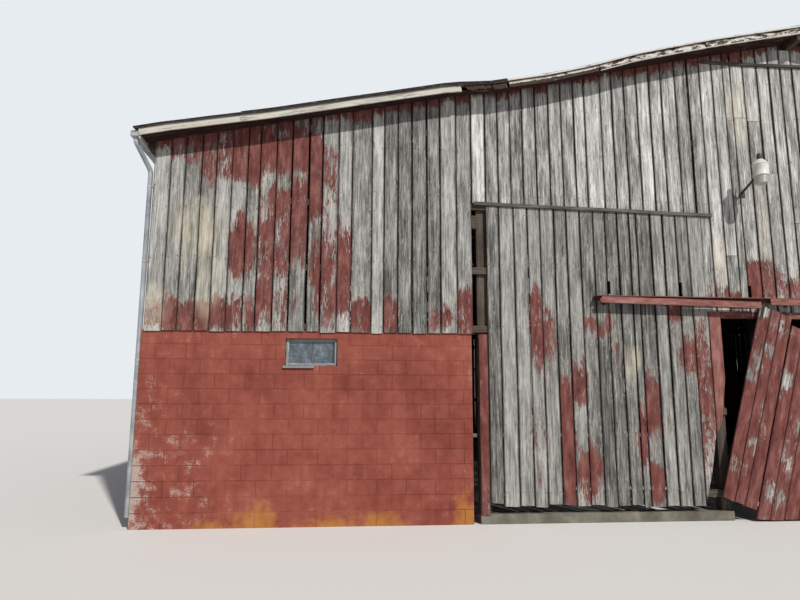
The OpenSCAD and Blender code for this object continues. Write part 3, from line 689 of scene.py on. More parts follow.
def window_glass():
    """Old dusty glass. Its dark colour at the cleaner places is painted shade, standing for the dark inside
    behind it.
    """
    g = Graph("window_glass")
    place = g.place()
    dust = g.noise(place, 9.0, 5.0, 0.65)
    waves = g.noise(place, 5.0, 2.0, 0.5)
    color = g.ramp(dust, (0.36, (0.035, 0.048, 0.062)), (0.54, (0.085, 0.110, 0.135)),
                   (0.74, (0.22, 0.26, 0.29)))
    return g.finish(color, g.remap(dust, 0.4, 0.7, 0.08, 0.45), g.bump(waves, 0.15, 0.01), specular=0.8)


def enamel(name, color, dirt_color, rough=0.45):
    g = Graph(name)
    place = g.place()
    dirt = g.noise(place, 14.0, 5.0, 0.65)
    runs = g.noise(place, (60.0, 60.0, 6.0), 4.0, 0.6)
    shade = g.mix(g.remap(dirt, 0.50, 0.72, 0.0, 0.5), color, dirt_color)
    shade = g.mix(g.remap(runs, 0.60, 0.75, 0.0, 0.6), shade, dirt_color)
    return g.finish(shade, rough, g.bump(dirt, 0.1, 0.001), specular=0.4)


MATERIALS = {
    "boards": painted_boards("weathered_boards"),
    "low_boards": painted_boards("weathered_boards_low", LOW_GREYS),
    "pale_boards": painted_boards("weathered_boards_pale", PALE_GREYS),
    "faded": painted_boards("sunlit_red_boards", GREYS, SUNLIT_REDS),
    # The soffits' wood and red are darkened: painted shade under the rakes
    "soffit": painted_boards("soffit_boards", DARK_WOOD_AND_SHADE, SHADED_SOFFIT_REDS),
    "block": painted_block(),
    "mortar": mortar(),
    "concrete": concrete(),
    "dark_wood_and_shade": bare_wood("dark_wood_and_shade", DARK_WOOD_AND_SHADE),
    "timber_x": timber_in_place("frame_timber_x", "x"),
    "timber_y": timber_in_place("frame_timber_y", "y"),
    "timber_z": timber_in_place("frame_timber_z", "z"),
    "rafter": timber_in_place("frame_timber_slope", "slope"),
    "roof": roof_metal(),
    "cream": flaking_paint("cream_paint", (0.60, 0.57, 0.49), wear=0.04),
    "white": flaking_paint("white_paint", (0.30, 0.32, 0.33), wear=0.18),
    "edging": rusty_edging(),
    "tar": tarred_edge(),
    "gutter": gutter_metal(),
    "steel": rusty_steel(),
    "glass": window_glass(),
    "enamel": enamel("lamp_enamel", (0.62, 0.62, 0.58), (0.25, 0.22, 0.17)),
    "lens": enamel("lens_plastic", (0.42, 0.42, 0.38), (0.20, 0.18, 0.13), rough=0.3),
    "dark": enamel("dark_plastic", (0.035, 0.035, 0.038), (0.09, 0.075, 0.06), rough=0.5),
}


def carry_over(node, material, edge=0.005):
    """A node that keeps its own shape gets a material, and has its edges taken off."""
    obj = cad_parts[node]
    for slot in obj.material_slots:
        slot.material = MATERIALS[material]
    weld = obj.modifiers.new("weld", "WELD")
    weld.merge_threshold = 0.0002
    bevel = obj.modifiers.new("edges", "BEVEL")
    bevel.width = edge
    bevel.segments = 1
    bevel.limit_method = "ANGLE"
    bevel.angle_limit = math.radians(40)


# Block walls

def cut_rects(rects, hole):
    """The rectangles (u0, u1, z0, z1) that remain when a hole is taken out of them."""
    left = []
    h0, h1, hz0, hz1 = hole
    for u0, u1, z0, z1 in rects:
        if u1 <= h0 or u0 >= h1 or z1 <= hz0 or z0 >= hz1:
            left.append((u0, u1, z0, z1))
            continue
        if u0 < h0:
            left.append((u0, h0, z0, z1))
        if u1 > h1:
            left.append((h1, u1, z0, z1))
        a, b = max(u0, h0), min(u1, h1)
        if z0 < hz0:
            left.append((a, b, z0, hz0))
        if z1 > hz1:
            left.append((a, b, hz1, z1))
    return [r for r in left if r[1] - r[0] > 0.02 and r[3] - r[2] > 0.02]


def pad(parts, place, rect, depth, thick, edge, looks=None, **numbers):
    """A block with its face edges taken off, between depth and depth + thick. Its outer face is
    parted in two, so that numbers taken from places on it vary across it."""
    u0, u1, z0, z1 = rect
    inner = [(u0 + edge, z0 + edge), (u1 - edge, z0 + edge), (u1 - edge, z1 - edge),
             (u0 + edge, z1 - edge)]
    outer = [(u0, z0), (u1, z0), (u1, z1), (u0, z1)]
    rings = [(inner, depth), (outer, depth + edge), (outer, depth + thick - edge), (inner, depth + thick)]
    middle = (u0 + u1) / 2
    parting = [((middle, z0 + edge), depth + thick), ((middle, z1 - edge), depth + thick)]
    corners = [(p, level) for ring, level in rings for p in ring] + parting
    faces = [(0, 3, 2, 1), (12, 16, 17, 15), (16, 13, 14, 17)]
    for k in range(3):
        for i in range(4):
            j = (i + 1) % 4
            a, b, c, e = 4 * k + i, 4 * k + j, 4 * k + 4 + j, 4 * k + 4 + i
            if k == 2 and i in (0, 2):
                extra = 16 + i // 2
                faces += [(a, b, extra), (a, extra, e), (b, c, extra)]
            else:
                faces.append((a, b, c, e))
    points = place.at(*zip(*((u, z, level) for (u, z), level in corners)))
    for key, value in (looks or {}).items():
        numbers[key] = [value(point) for point in points]
    parts.add(points, faces, **numbers)


def block_wall(name, node, place, length, holes, rng, first=0):
    """A wall of blocks in running bond, on a slab of mortar that shows in the joints."""
    joint, recess, shortest, chamfer = 0.007, 0.002, 0.05, 0.003
    blocks, slab = Parts(), Parts()
    core = [(recess, length - recess, 0.002, BLOCK_TOP - 0.002)]
    for hole in holes:
        core = cut_rects(core, hole)
    for rect in core:
        pad(slab, place, rect, recess, BLOCK_T - 2 * recess, edge=0.0005)
    for k in range(round(BLOCK_TOP / COURSE_H)):
        z0, z1 = k * COURSE_H, (k + 1) * COURSE_H
        shift = -BLOCK_L / 2 if (k + first) % 2 else 0.0
        for i in range(int(length / BLOCK_L) + 2):
            u0, u1 = max(shift + i * BLOCK_L, 0.0), min(shift + (i + 1) * BLOCK_L, length)
            if u1 - u0 < shortest:
                continue
            rects = [(u0 + (joint / 2 if u0 > 0 else 0), u1 - (joint / 2 if u1 < length else 0),
                      z0 + (joint / 2 if k else 0), z1 - joint / 2)]
            for hole in holes:
                rects = cut_rects(rects, hole)
            for rect in rects:
                depth, thick = rng.uniform(0, 0.001), BLOCK_T - rng.uniform(0.001, 0.002)
                pad(blocks, place, rect, depth, thick, chamfer,
                    {"paint": bare_corner, "stain": near_ground}, tone=rng.uniform(0, 1))
    blocks.make(name, "block", "painted_block", replaces=(node,) if node else ())
    slab.make(name + "_joints", "mortar", "painted_block")


def window_hole(u):
    return (u - WINDOW_W / 2, u + WINDOW_W / 2, WINDOW_Z, WINDOW_TOP)


def side_window_ys():
    return [MID_Y + (i - (BAYS - 1) / 2) * BAY_PITCH for i in range(BAYS)]


# Ochre stain at the foot of the left front wall: (x, z, half width, half height)
STAIN_SPOTS = ((-8.20, -0.02, 0.34, 0.30), (-8.85, -0.06, 0.30, 0.22), (-7.25, -0.06, 0.45, 0.24),
               (-6.55, -0.02, 0.34, 0.26), (-5.42, 0.05, 0.20, 0.52))


def near_ground(point):
    """Ochre stain at the foot of the walls, in the places seen on the left front wall."""
    x, y, z = point
    if y < FRONT + 0.5 and x < 0:
        reach = [((x - sx) / w) ** 2 + ((z - sz) / h) ** 2 for sx, sz, w, h in STAIN_SPOTS]
        return max(0.0, 1.25 - 0.95 * min(reach))
    return max(0.0, 0.55 + 0.35 * math.sin(1.9 * x + 1.3 * y) - 2.2 * z)


def bare_corner(point):
    """Paint lost at the corners low down, faded round there, and thin along the top."""
    x, y, z = point
    corner = abs(abs(x) - BLOCK_X) + min(y - FRONT, BACK - y)
    reach = (corner / 0.15) ** 2 + ((z - 0.5) / 0.65) ** 2
    faded = 0.42 - 0.25 * corner - 0.22 * max(0.0, z - 0.9)
    return max(0.0, 1.0 - 0.55 * reach, faded) + max(0.0, 0.25 * (z - 2.3))


def make_block_walls():
    rng = np.random.default_rng(11)
    front_len = BLOCK_X - BLOCK_END
    side_len = BACK - FRONT - 2 * BLOCK_T
    for side, name in SIDES:
        start = -BLOCK_X if side < 0 else BLOCK_END
        place = Place((start, FRONT + BLOCK_T, 0), RIGHT, UP)
        block_wall(f"blocks_front_{name}", f"front_block_wall_{name}", place, front_len,
                   [window_hole(side * FRONT_WINDOW_X - start)], rng, first=0 if side < 0 else 1)
        if side < 0:
            place = Place((-BLOCK_X + BLOCK_T, BACK - BLOCK_T, 0), FORWARD, UP)
            holes = [window_hole(BACK - BLOCK_T - y) for y in side_window_ys()]
        else:
            place = Place((BLOCK_X - BLOCK_T, FRONT + BLOCK_T, 0), REARWARD, UP)
            holes = [window_hole(y - FRONT - BLOCK_T) for y in side_window_ys()]
        block_wall(f"blocks_side_{name}", f"side_block_wall_{name}", place, side_len, holes, rng)
        place = Place((-BLOCK_END if side < 0 else BLOCK_X, BACK - BLOCK_T, 0), LEFT, UP)
        block_wall(f"blocks_rear_{name}", "rear_block_walls" if side < 0 else None, place, front_len, [], rng)


# Paint left on the boards: (x, z, half width, half height, strength), seen on the left of the gable
PAINT_SPOTS = (
    (-8.50, 5.20, 0.42, 0.42, 0.9), (-8.95, 5.00, 0.22, 0.28, 0.6), (-7.85, 5.22, 0.50, 0.35, 0.9),
    (-7.80, 4.45, 0.48, 0.32, 0.8), (-8.58, 3.85, 0.20, 0.48, 0.85), (-8.10, 3.80, 0.42, 0.50, 0.65),
    (-7.30, 3.45, 0.32, 0.75, 0.8), (-9.25, 2.85, 0.75, 0.26, 0.75), (-8.30, 2.95, 0.50, 0.30, 0.65),
    (-6.88, 2.90, 0.16, 0.25, 0.7), (-6.45, 2.85, 0.14, 0.30, 0.7), (-5.28, 2.95, 0.22, 0.40, 0.75),
    (-5.72, 2.80, 0.20, 0.20, 0.5), (-7.45, 4.90, 0.25, 0.60, 0.65), (-9.35, 5.25, 0.40, 0.20, 0.6),
    (-4.32, 2.75, 0.11, 0.62, 0.95), (-4.18, 2.55, 0.09, 0.55, 0.8), (-4.34, 1.15, 0.10, 0.60, 0.5),
    (-3.90, 1.10, 0.15, 0.90, 1.0), (-3.62, 0.68, 0.14, 0.38, 0.95), (-3.68, 2.00, 0.12, 0.35, 0.75),
    (-3.46, 2.75, 0.14, 0.14, 0.6), (-3.22, 2.88, 0.09, 0.16, 0.65), (-3.15, 2.48, 0.07, 0.18, 0.5),
    (-2.20, 2.90, 0.17, 0.14, 0.7), (-2.06, 2.28, 0.13, 0.32, 0.75), (-2.66, 1.58, 0.08, 0.42, 0.8),
    (-2.83, 1.10, 0.10, 0.40, 0.8), (-2.66, 0.50, 0.09, 0.30, 0.7), (-1.86, 1.90, 0.12, 1.10, 0.65),
    (-0.72, 3.48, 0.30, 0.36, 0.9), (-1.40, 3.22, 0.32, 0.14, 0.75), (-0.10, 3.35, 0.40, 0.30, 0.65),
)
LIGHT_SPOTS = ((-9.20, 4.10, 0.30, 0.45, 0.7), (-1.42, 3.72, 0.10, 0.28, 0.8), (-0.92, 6.20, 0.20, 0.45, 0.5),
               (-2.90, 2.22, 0.10, 0.20, 0.9), (-9.00, 3.30, 0.15, 0.40, 0.5), (-0.65, 4.60, 0.15, 0.9, 0.4),
               (-9.70, 2.95, 0.15, 0.30, 0.6))


def spots(table):
    """A function of x and z that is near a spot's strength inside it and falls off outside."""
    table = np.array(table)

    def value(x, z):
        x, z = np.asarray(x, float)[..., None], np.asarray(z, float)[..., None]
        reach = ((x - table[:, 0]) / table[:, 2]) ** 2 + ((z - table[:, 1]) / table[:, 3]) ** 2
        return np.max(table[:, 4] * np.clip(1.35 - 0.75 * reach, 0, 1), axis=-1)

    return value


def random_spots(rng, x0, x1, z0, z1, count):
    """Spots of paint on a wall that isn't seen, tall and narrow as on the one that is."""
    return [(rng.uniform(x0, x1), rng.uniform(z0, z1), rng.uniform(0.07, 0.30), rng.uniform(0.30, 1.05),
             rng.uniform(0.42, 0.88)) for _ in range(count)]


# Seams between the boards of the left half of the gable
OUTER_SEAMS = (-9.85, -9.61, -9.41, -9.18, -8.97, -8.75, -8.53, -8.35, -8.12, -7.90, -7.65, -7.45, -7.22,
               -7.02, -6.73, -6.55, -6.35, -6.14, -5.92, -5.72, -5.48, -5.257)
UPPER_SEAMS = (-5.25, -5.04, -4.84, -4.65, -4.46, -4.25, -4.04, -3.84, -3.64, -3.46, -3.20, -3.02, -2.81,
               -2.61, -2.40, -2.20, -1.97, -1.76)
LOWER_SEAMS = (-5.05, -4.85, -4.63, -4.42, -4.23, -4.02, -3.82, -3.62, -3.41, -3.23, -3.04, -2.85, -2.74,
               -2.52, -2.32, -2.12, -1.93, -1.70)
DOOR_SEAMS = (-1.745, -1.55, -1.34, -1.15, -1.03, -0.81, -0.58, -0.37, -0.17, 0.03, 0.24, 0.44, 0.66, 0.86,
              1.05, 1.27, 1.48, 1.745)
# Levels at which boards over the doorway are joined end to end, by their place in the row
DOOR_JOINTS = {2: 3.86, 3: 6.06, 4: 6.10, 5: 6.05, 6: 5.2, 8: 4.4, 11: 5.6, 13: 4.1}
# The slanted break of the last board before the doorway: places from its left seam, and levels
BREAK_PLACES = (0.0, 0.11, 0.23)
BREAK_LEVELS = (0.26, 0.62, 1.27)
# Notches over the hood, each cut from the board right of a seam: the seam, (from, to, depth)
NOTCHES = ((-3.23, (3.24, 3.43, 0.035)), (-2.12, (3.20, 3.43, 0.03)), (-1.03, (3.17, 3.40, 0.04)))
# Levels of the timbers that the boards are nailed to
NAIL_ROWS = (0.42, 1.35, 2.72, 3.66, 4.40, 4.68, 5.38, 6.10, 6.70)


def mirrored(seams):
    return tuple(-x for x in reversed(seams))


def under_roof(x):
    """Where a gable board ends under the roofing."""
    return roof_under(x) - 0.003


def under_ridge(_):
    """Where a gable board ends under the ridge beam."""
    return roof_under(0) - 0.21


def rake_band(x, z):
    """Paint that the soffit has sheltered, in a ragged band under it."""
    band = 0.20
    below = roof_under(0) - np.abs(x) * RISE - RAKE_H - z
    return np.clip(1.05 - below / band, 0, 1)


def gable_paint(rng):
    """Paint on the gable: as seen on its left half and past the middle, made up beyond."""
    left = spots(PAINT_SPOTS)
    outer = spots(random_spots(rng, 5.2, 9.8, 2.6, 5.4, count=24))
    inner = spots(random_spots(rng, 0.6, 5.2, 0.3, 3.4, count=16))

    def value(x, z):
        x, z = np.asarray(x, float), np.asarray(z, float)
        unseen = np.maximum(outer(x, z), inner(x, z))
        return np.maximum(np.where(x < 0.5, left(x, z), unseen), rake_band(x, z))

    return value


def make_front_boards():
    """The boards of the photographed gable, group by group, with the seams read for them."""
    rng = np.random.default_rng(21)
    place = Place((0, FRONT, 0), RIGHT, UP)
    nails = Parts()
    look = {"slide": 0.08, "paint": gable_paint(rng), "stain": spots(LIGHT_SPOTS), "nails": nails,
            "rows": NAIL_ROWS, "notches": NOTCHES}

    outer = Parts()
    for seams in (OUTER_SEAMS, mirrored(OUTER_SEAMS)):
        board_wall(outer, place, seams, lambda x: OUTER_FOOT, under_roof, rng, steps=24, **look)
    outer.make("boards_front_outer", "boards", "weathered_boards", replaces=("front_boards_outer",))

    upper = Parts()
    for seams in (UPPER_SEAMS, mirrored(UPPER_SEAMS)):
        board_wall(upper, place, seams, belt_z, under_roof, rng, steps=16, **look)
    for left, right in zip(DOOR_SEAMS, DOOR_SEAMS[1:]):
        top = under_ridge if abs(left + right) / 2 < 0.1 else under_roof
        board_wall(upper, place, (left, right), lambda x: RAIL_Z, top, rng, steps=4, **look)
    upper.make("boards_front_upper", "pale_boards", "weathered_boards", replaces=("front_boards_upper",))

    lower = Parts()
    for seams, lost in ((LOWER_SEAMS, LOWER_SEAMS[-2]), (mirrored(LOWER_SEAMS), math.inf)):

        def foot(x):
            return foot_z(x) if x < lost else np.interp(x - lost, BREAK_PLACES, BREAK_LEVELS)

        board_wall(lower, place, seams, foot, lambda x: belt_z(x) - 0.004, rng, steps=30,
                   ragged=0.025, **look)
    lower.make("boards_front_lower", "low_boards", "weathered_boards", replaces=("front_boards_lower",))

    over = Parts()
    for k, (left, right) in enumerate(zip(DOOR_SEAMS, DOOR_SEAMS[1:])):
        cut = DOOR_JOINTS.get(k)
        spans = [(HEADER_TOP, RAIL_Z)] if cut is None else [(HEADER_TOP, cut - 0.003), (cut + 0.003, RAIL_Z)]
        for z0, z1 in spans:
            board_wall(over, place, (left, right), lambda x: z0, lambda x: z1, rng, steps=24,
                       ragged=0.002, **look)
    over.make("boards_over_door", "pale_boards", "weathered_boards", replaces=("front_boards_over_door",))
    nails.make("nails_front", "steel", "rusty_steel")


def make_other_boards():
    """The boards of the sides and the rear, which aren't in the photograph."""
    rng = np.random.default_rng(31)
    side_top = high("side_boards")[2]
    sides, nails = Parts(), Parts()
    nailed = {"nails": nails, "rows": NAIL_ROWS, "gaps": (0.004, 0.015)}
    for side in (-1, 1):
        if side < 0:
            place = Place((-HALF_W + BOARD_T, BACK, 0), FORWARD, UP)
        else:
            place = Place((HALF_W - BOARD_T, FRONT, 0), REARWARD, UP)
        length = BACK - FRONT
        paint = spots(random_spots(rng, 0, length, BLOCK_TOP, side_top, count=60))
        board_wall(sides, place, even_seams(0.0, length, rng), lambda u: BLOCK_TOP + 0.002,
                   lambda u: side_top, rng, steps=14, ragged=0.001, slide=0.35, paint=paint, **nailed)
    sides.make("boards_side", "boards", "weathered_boards", replaces=("side_boards",))

    rear = Parts()
    place = Place((0, BACK, 0), LEFT, UP)
    paint = spots(random_spots(rng, -9.8, 9.8, 0.3, 6.8, count=110))
    for x0, x1 in ((-HALF_W, -TRIM_X - 0.002), (-TRIM_X, TRIM_X), (TRIM_X + 0.002, HALF_W)):
        seams = even_seams(x0, x1, rng)
        for left, right in zip(seams, seams[1:]):
            top = under_ridge if left < 0.05 and right > -0.05 else under_roof
            level = foot_z(TRIM_X) if abs(left + right) / 2 < TRIM_X else OUTER_FOOT
            board_wall(rear, place, (left, right), lambda u: level, top, rng, steps=28, slide=0.35,
                       paint=paint, **nailed)
    rear.make("boards_rear", "boards", "weathered_boards", replaces=("rear_boards",))
    nails.make("nails_other", "steel", "rusty_steel")


def make_strips_and_trim():
    """The strips over the board ends, coloured dark as painted shade of the laps there, and the red boards
    beside the slots and the doorway.
    """
    rng = np.random.default_rng(41)
    face = FRONT - BOARD_T
    strips = Parts()
    outer, inner = 5.225, 1.535
    for side in (-1, 1):
        a, b = (side * outer, face, belt_z(outer)), (side * inner, face, belt_z(inner))
        board(strips, a, b, FORWARD, STRIP_H, STRIP_T, rng, steps=16, bow=0.004)
    a, b = (-JAMB_X, face, RAIL_Z), (JAMB_X, face, RAIL_Z)
    board(strips, a, b, FORWARD, STRIP_H, STRIP_T, rng, steps=14, bow=0.004)
    # The strips' dark colour is painted shade of the laps
    strips.make("belt_strip_boards", "dark_wood_and_shade", "weathered_boards", replaces=("belt_strips",))

    trim = Parts()
    place = Place((0, FRONT, 0), RIGHT, UP)

    def wear(_, z):
        """Paint that is thinner near the ground and at one height where it was rubbed."""
        rubbed, low_down = 1.9, 1.2
        thin = 0.35 * np.clip(1 - z / low_down, 0, 1)
        return 0.98 - thin - 0.25 * np.clip(1 - np.abs(z - rubbed) / 0.2, 0, 1)

    for side in (-1, 1):
        left, right = sorted((side * TRIM_X, side * (TRIM_X - TRIM_W)))
        plank(trim, place, left + 0.002, right - 0.002, lambda u: FOOTING_H, lambda u: OUTER_FOOT - 0.002,
              BOARD_T - 0.002, rng, steps=18, bow=0.002, paint=wear)

    def broken(u):
        """The foot of the left jamb board: a stub at its outer edge, split away above the rest."""
        level, rise, stub = 1.22, 0.80, 0.07
        return level + max(0.0, u + JAMB_X + JAMB_W - stub) / (JAMB_W - stub) * rise

    jambs = Parts()
    plank(jambs, place, -JAMB_X - JAMB_W + 0.008, -JAMB_X, broken, lambda u: HEADER_TOP - 0.001,
          BOARD_T - 0.002, rng, steps=16, bow=0.002, paint=1.02)
    plank(jambs, place, JAMB_X, JAMB_X + JAMB_W - 0.008, lambda u: FOOTING_H, lambda u: HEADER_TOP - 0.001,
          BOARD_T - 0.002, rng, steps=16, bow=0.002, paint=wear)
    trim.make("trim_planks", "boards", "red_boards", replaces=("trim_boards",))
    # The jambs take the lighter red: painted sunlight
    jambs.make("jamb_planks", "faded", "red_boards")

    header = Parts()
    middle = (DOOR_H + HEADER_TOP) / 2
    back = high("door_header")[1]
    depth = back - low("door_header")[1]
    board(header, (-JAMB_X, back, middle), (JAMB_X, back, middle), FORWARD, HEADER_TOP - DOOR_H, depth,
          rng, steps=14, bow=0.001, paint=0.85)
    header.make("door_header_board", "boards", "red_boards", replaces=("door_header",))


# Roof edges: boards along the rakes, soffits, fascias, and the edge of the roofing

def on_rake(side, x, y, drop):
    """A point on a rake of the left (-1) or right (1) slope, drop below the underside of the roofing."""
    return (side * x, y, roof_under(x) - drop)


def rake_runs(side, y, outward, rng):
    """A function that lays a board along one rake, between two distances from the middle."""
    def run(parts, ends, drop, width, thick, **look):
        lift = width / 2 / math.cos(ROOF_PITCH) + drop
        a, b = (on_rake(side, x, y, lift) for x in ends)
        board(parts, a, b, outward, width, thick, rng, **look)

    return run


# Sag of the roof's front edge at places across the left slope
SAG_PLACES = (-9.6, -8.2, -5.6, -5.0, -4.1, -3.4, -2.7, -1.5)
SAG_DEPTHS = (0.0, 0.05, 0.075, 0.15, 0.16, 0.12, 0.04, 0.0)


def sagging(points):
    """The overhang droops past the gable wall, most where it has lost its rake board."""
    reach = np.clip((FRONT - points[:, 1]) / 0.2, 0, 1)
    points[:, 2] -= np.interp(points[:, 0], SAG_PLACES, SAG_DEPTHS) * reach
    return points


# Ends of the boards on a rake, from the eave to the ridge: sound, in loose pieces, worn to two thin
# strips, and flaking
SOUND_ENDS = ((FASCIA_X, 8.62), (8.62, 5.44))
LOOSE_ENDS = ((5.42, 5.20), (5.24, 4.98), (5.00, 4.74))
WORN_ENDS = (4.72, 3.32)
FLAKING_ENDS = ((3.30, 1.60), (1.58, 0.003))
# Where the dark edge of the roofing ends and the pale one starts
EDGE_CHANGE = 4.75


def make_rake_boards():
    """Boards along the four rakes, and the edge of the roofing that shows over them."""
    rng = np.random.default_rng(51)
    height = RAKE_H * math.cos(ROOF_PITCH) - 0.002
    cream, worn = Parts(), Parts()
    for y, outward in ((RAKE_FRONT + TRIM_T, FORWARD), (RAKE_BACK - TRIM_T, REARWARD)):
        for side in (-1, 1):
            run = rake_runs(side, y, outward, rng)
            for ends in SOUND_ENDS:
                run(cream, ends, 0.001, height, TRIM_T, steps=14, bow=0.002, skew=0.1)
            for ends in LOOSE_ENDS:
                drop, wide = rng.uniform(0.0, 0.02), height * rng.uniform(0.5, 0.85)
                run(worn, ends, drop, wide, TRIM_T, steps=5, bow=0.008, skew=0.8, ragged=0.03,
                    depth=-0.003, paint=0.0)
            run(worn, WORN_ENDS, 0.001, 0.42 * height, TRIM_T, steps=12, bow=0.002, paint=0.8)
            run(worn, WORN_ENDS, 0.46 * height, 0.5 * height, TRIM_T - 0.004, steps=12, bow=0.002,
                skew=0.3, paint=0.0)
            for ends in FLAKING_ENDS:
                run(worn, ends, 0.001, height, TRIM_T, steps=12, bow=0.002, skew=0.1, paint=0.62)
    cream.make("rake_cream_boards", "cream", "white_trim", replaces=("rake_boards",), bend=sagging)
    worn.make("rake_worn_boards", "edging", "white_trim", bend=sagging)

    edge, lip = Parts(), Parts()
    tall, thick = ROOFING_T - 0.002, 0.004
    slope_tall = tall / math.cos(ROOF_PITCH)
    for y, outward in ((ROOF_FRONT + thick, FORWARD), (ROOF_BACK - thick, REARWARD)):
        for side in (-1, 1):
            run = rake_runs(side, y, outward, rng)
            for x0, x1, up in ((SHEET_X, 8.6, 0.0), (8.6, EDGE_CHANGE, 0.012)):
                run(edge, (x0, x1), -slope_tall - up, tall + up, thick, steps=16, bow=0.002)
            run(lip, (EDGE_CHANGE, 0.003), -slope_tall, tall, thick, steps=16, bow=0.002, paint=0.95)
            run = rake_runs(side, y - 0.03 * outward[1], outward, rng)
            run(lip, (3.30, 0.003), RAKE_H - 0.012, 0.012, 0.012, steps=12, bow=0.001, paint=1.0)
    edge.make("roofing_edge_dark", "tar", "sheet_roofing", bend=sagging)
    lip.make("roofing_edge_pale", "edging", "sheet_roofing", bend=sagging)


def make_soffits():
    """Two boards side by side under each rake, painted red and darkened with painted shade, in three lengths.
    """
    rng = np.random.default_rng(61)
    parts = Parts()
    thick, drop = 0.017, RAKE_H - 0.018
    for y0, y1 in ((RAKE_FRONT + TRIM_T, FRONT - BOARD_T), (BACK + BOARD_T, RAKE_BACK - TRIM_T)):
        for side in (-1, 1):
            down = (-side * math.sin(ROOF_PITCH), 0, -math.cos(ROOF_PITCH))
            half = (y1 - y0) / 2
            for k in range(2):
                middle = y0 + half * (k + 0.5)
                ends = (FASCIA_X - TRIM_T - 0.002, 6.9 - 0.8 * k, 3.4 + 0.7 * k, 0.045)
                for x0, x1 in zip(ends, ends[1:]):
                    a = on_rake(side, x0, middle, drop)
                    b = on_rake(side, x1 + 0.003, middle, drop)
                    board(parts, a, b, down, half - 0.006, thick, rng, steps=12, bow=0.003,
                          ragged=0.002, paint=0.80)
    parts.make("soffit_boards", "soffit", "red_boards", replaces=("soffits",), bend=sagging)


def make_eaves():
    """Fascia boards behind the gutters, in four lengths."""
    rng = np.random.default_rng(71)
    fascia = Parts()
    y0, y1 = low("eave_fascias")[1], high("eave_fascias")[1]
    z0, z1 = low("eave_fascias")[2], high("eave_fascias")[2] - TRIM_T * RISE
    middle, width = (z0 + z1) / 2, z1 - z0 - 0.004
    joints = np.linspace(y0, y1, 5)
    for side in (-1, 1):
        x = side * (FASCIA_X - TRIM_T)
        for start, stop in zip(joints, joints[1:]):
            board(fascia, (x, start + 0.001, middle), (x, stop - 0.001, middle), (side, 0, 0), width,
                  TRIM_T - 0.001, rng, steps=10, bow=0.001)
    fascia.make("eave_fascia_boards", "cream", "white_trim", replaces=("eave_fascias",))


# Roofing sheets

def make_roof():
    """Corrugated sheets in three overlapping rows on each slope, with a folded cap on the ridge."""
    pitch, wave, thick, steps, inset = 0.0762, 0.009, 0.0008, 7, 0.006
    rng = np.random.default_rng(81)
    count = round((ROOF_BACK - ROOF_FRONT - 2 * inset) / (pitch / 6)) + 1
    y = np.linspace(ROOF_FRONT + inset, ROOF_BACK - inset, count)
    run = y - y[0]
    sheet_w = 8 * pitch
    column = (run / sheet_w).astype(int)
    swell = wave + wave * np.cos(2 * math.pi * run / pitch) + 0.0012 * (run % sheet_w < pitch)
    length = SHEET_X / math.cos(ROOF_PITCH) - 0.02
    rows = ((0.0, 3.6), (3.45, 7.05), (6.9, length))
    for side, name in SIDES:
        parts = Parts()
        normal = np.array([side * math.sin(ROOF_PITCH), 0, math.cos(ROOF_PITCH)])
        order = slice(None, None, side)
        for k, (s0, s1) in enumerate(rows):
            s = np.linspace(s0, s1, steps)[:, None]
            x = side * (SHEET_X - s * math.cos(ROOF_PITCH))
            base = np.stack(np.broadcast_arrays(x, y, roof_under(x)), -1)
            top = base + (inset + 0.0025 * k + swell)[None, :, None] * normal
            tones = rng.uniform(0, 1, column.max() + 1)[column]
            grain = np.stack(np.broadcast_arrays(y, s, 7.3 * tones + 20 * k), -1)
            tone = np.broadcast_to(tones, (steps, count))
            lap = np.broadcast_to(np.clip(1 - (s - s0) / 0.5, 0, 1), (steps, count))
            shell(parts, top[:, order], (top - thick * normal)[:, order], grain[:, order],
                  tone=tone[:, order], stain=lap[:, order])
        parts.make(f"roof_sheets_{name}", "roof", "sheet_roofing", replaces=(f"roof_{name}",), smooth=50,
                   bend=sagging)

    cap = Parts()
    reach = 0.178
    section = [(-reach, 0.0005), (-reach, 0.003), (-0.02, 0.0045), (0, 0.006), (0.02, 0.0045),
               (reach, 0.003), (reach, 0.0005), (0, 0.0025)]
    joints = np.linspace(ROOF_FRONT + 0.004, ROOF_BACK - 0.004, 8)
    for k, (a, b) in enumerate(zip(joints, joints[1:])):
        lift = 0.0005 * (k % 2)
        rings = [[(x, y_at, roof_top(x) + z + lift) for x, z in section]
                 for y_at in np.linspace(a, min(b + 0.06, ROOF_BACK - 0.003), 5)]
        cap.add(np.array(rings), ring_faces(5, len(section)), tone=rng.uniform(0, 1), stain=0.3)
    cap.make("ridge_cap_sections", "roof", "sheet_roofing", replaces=("ridge_cap",))


# Gutters and downspouts

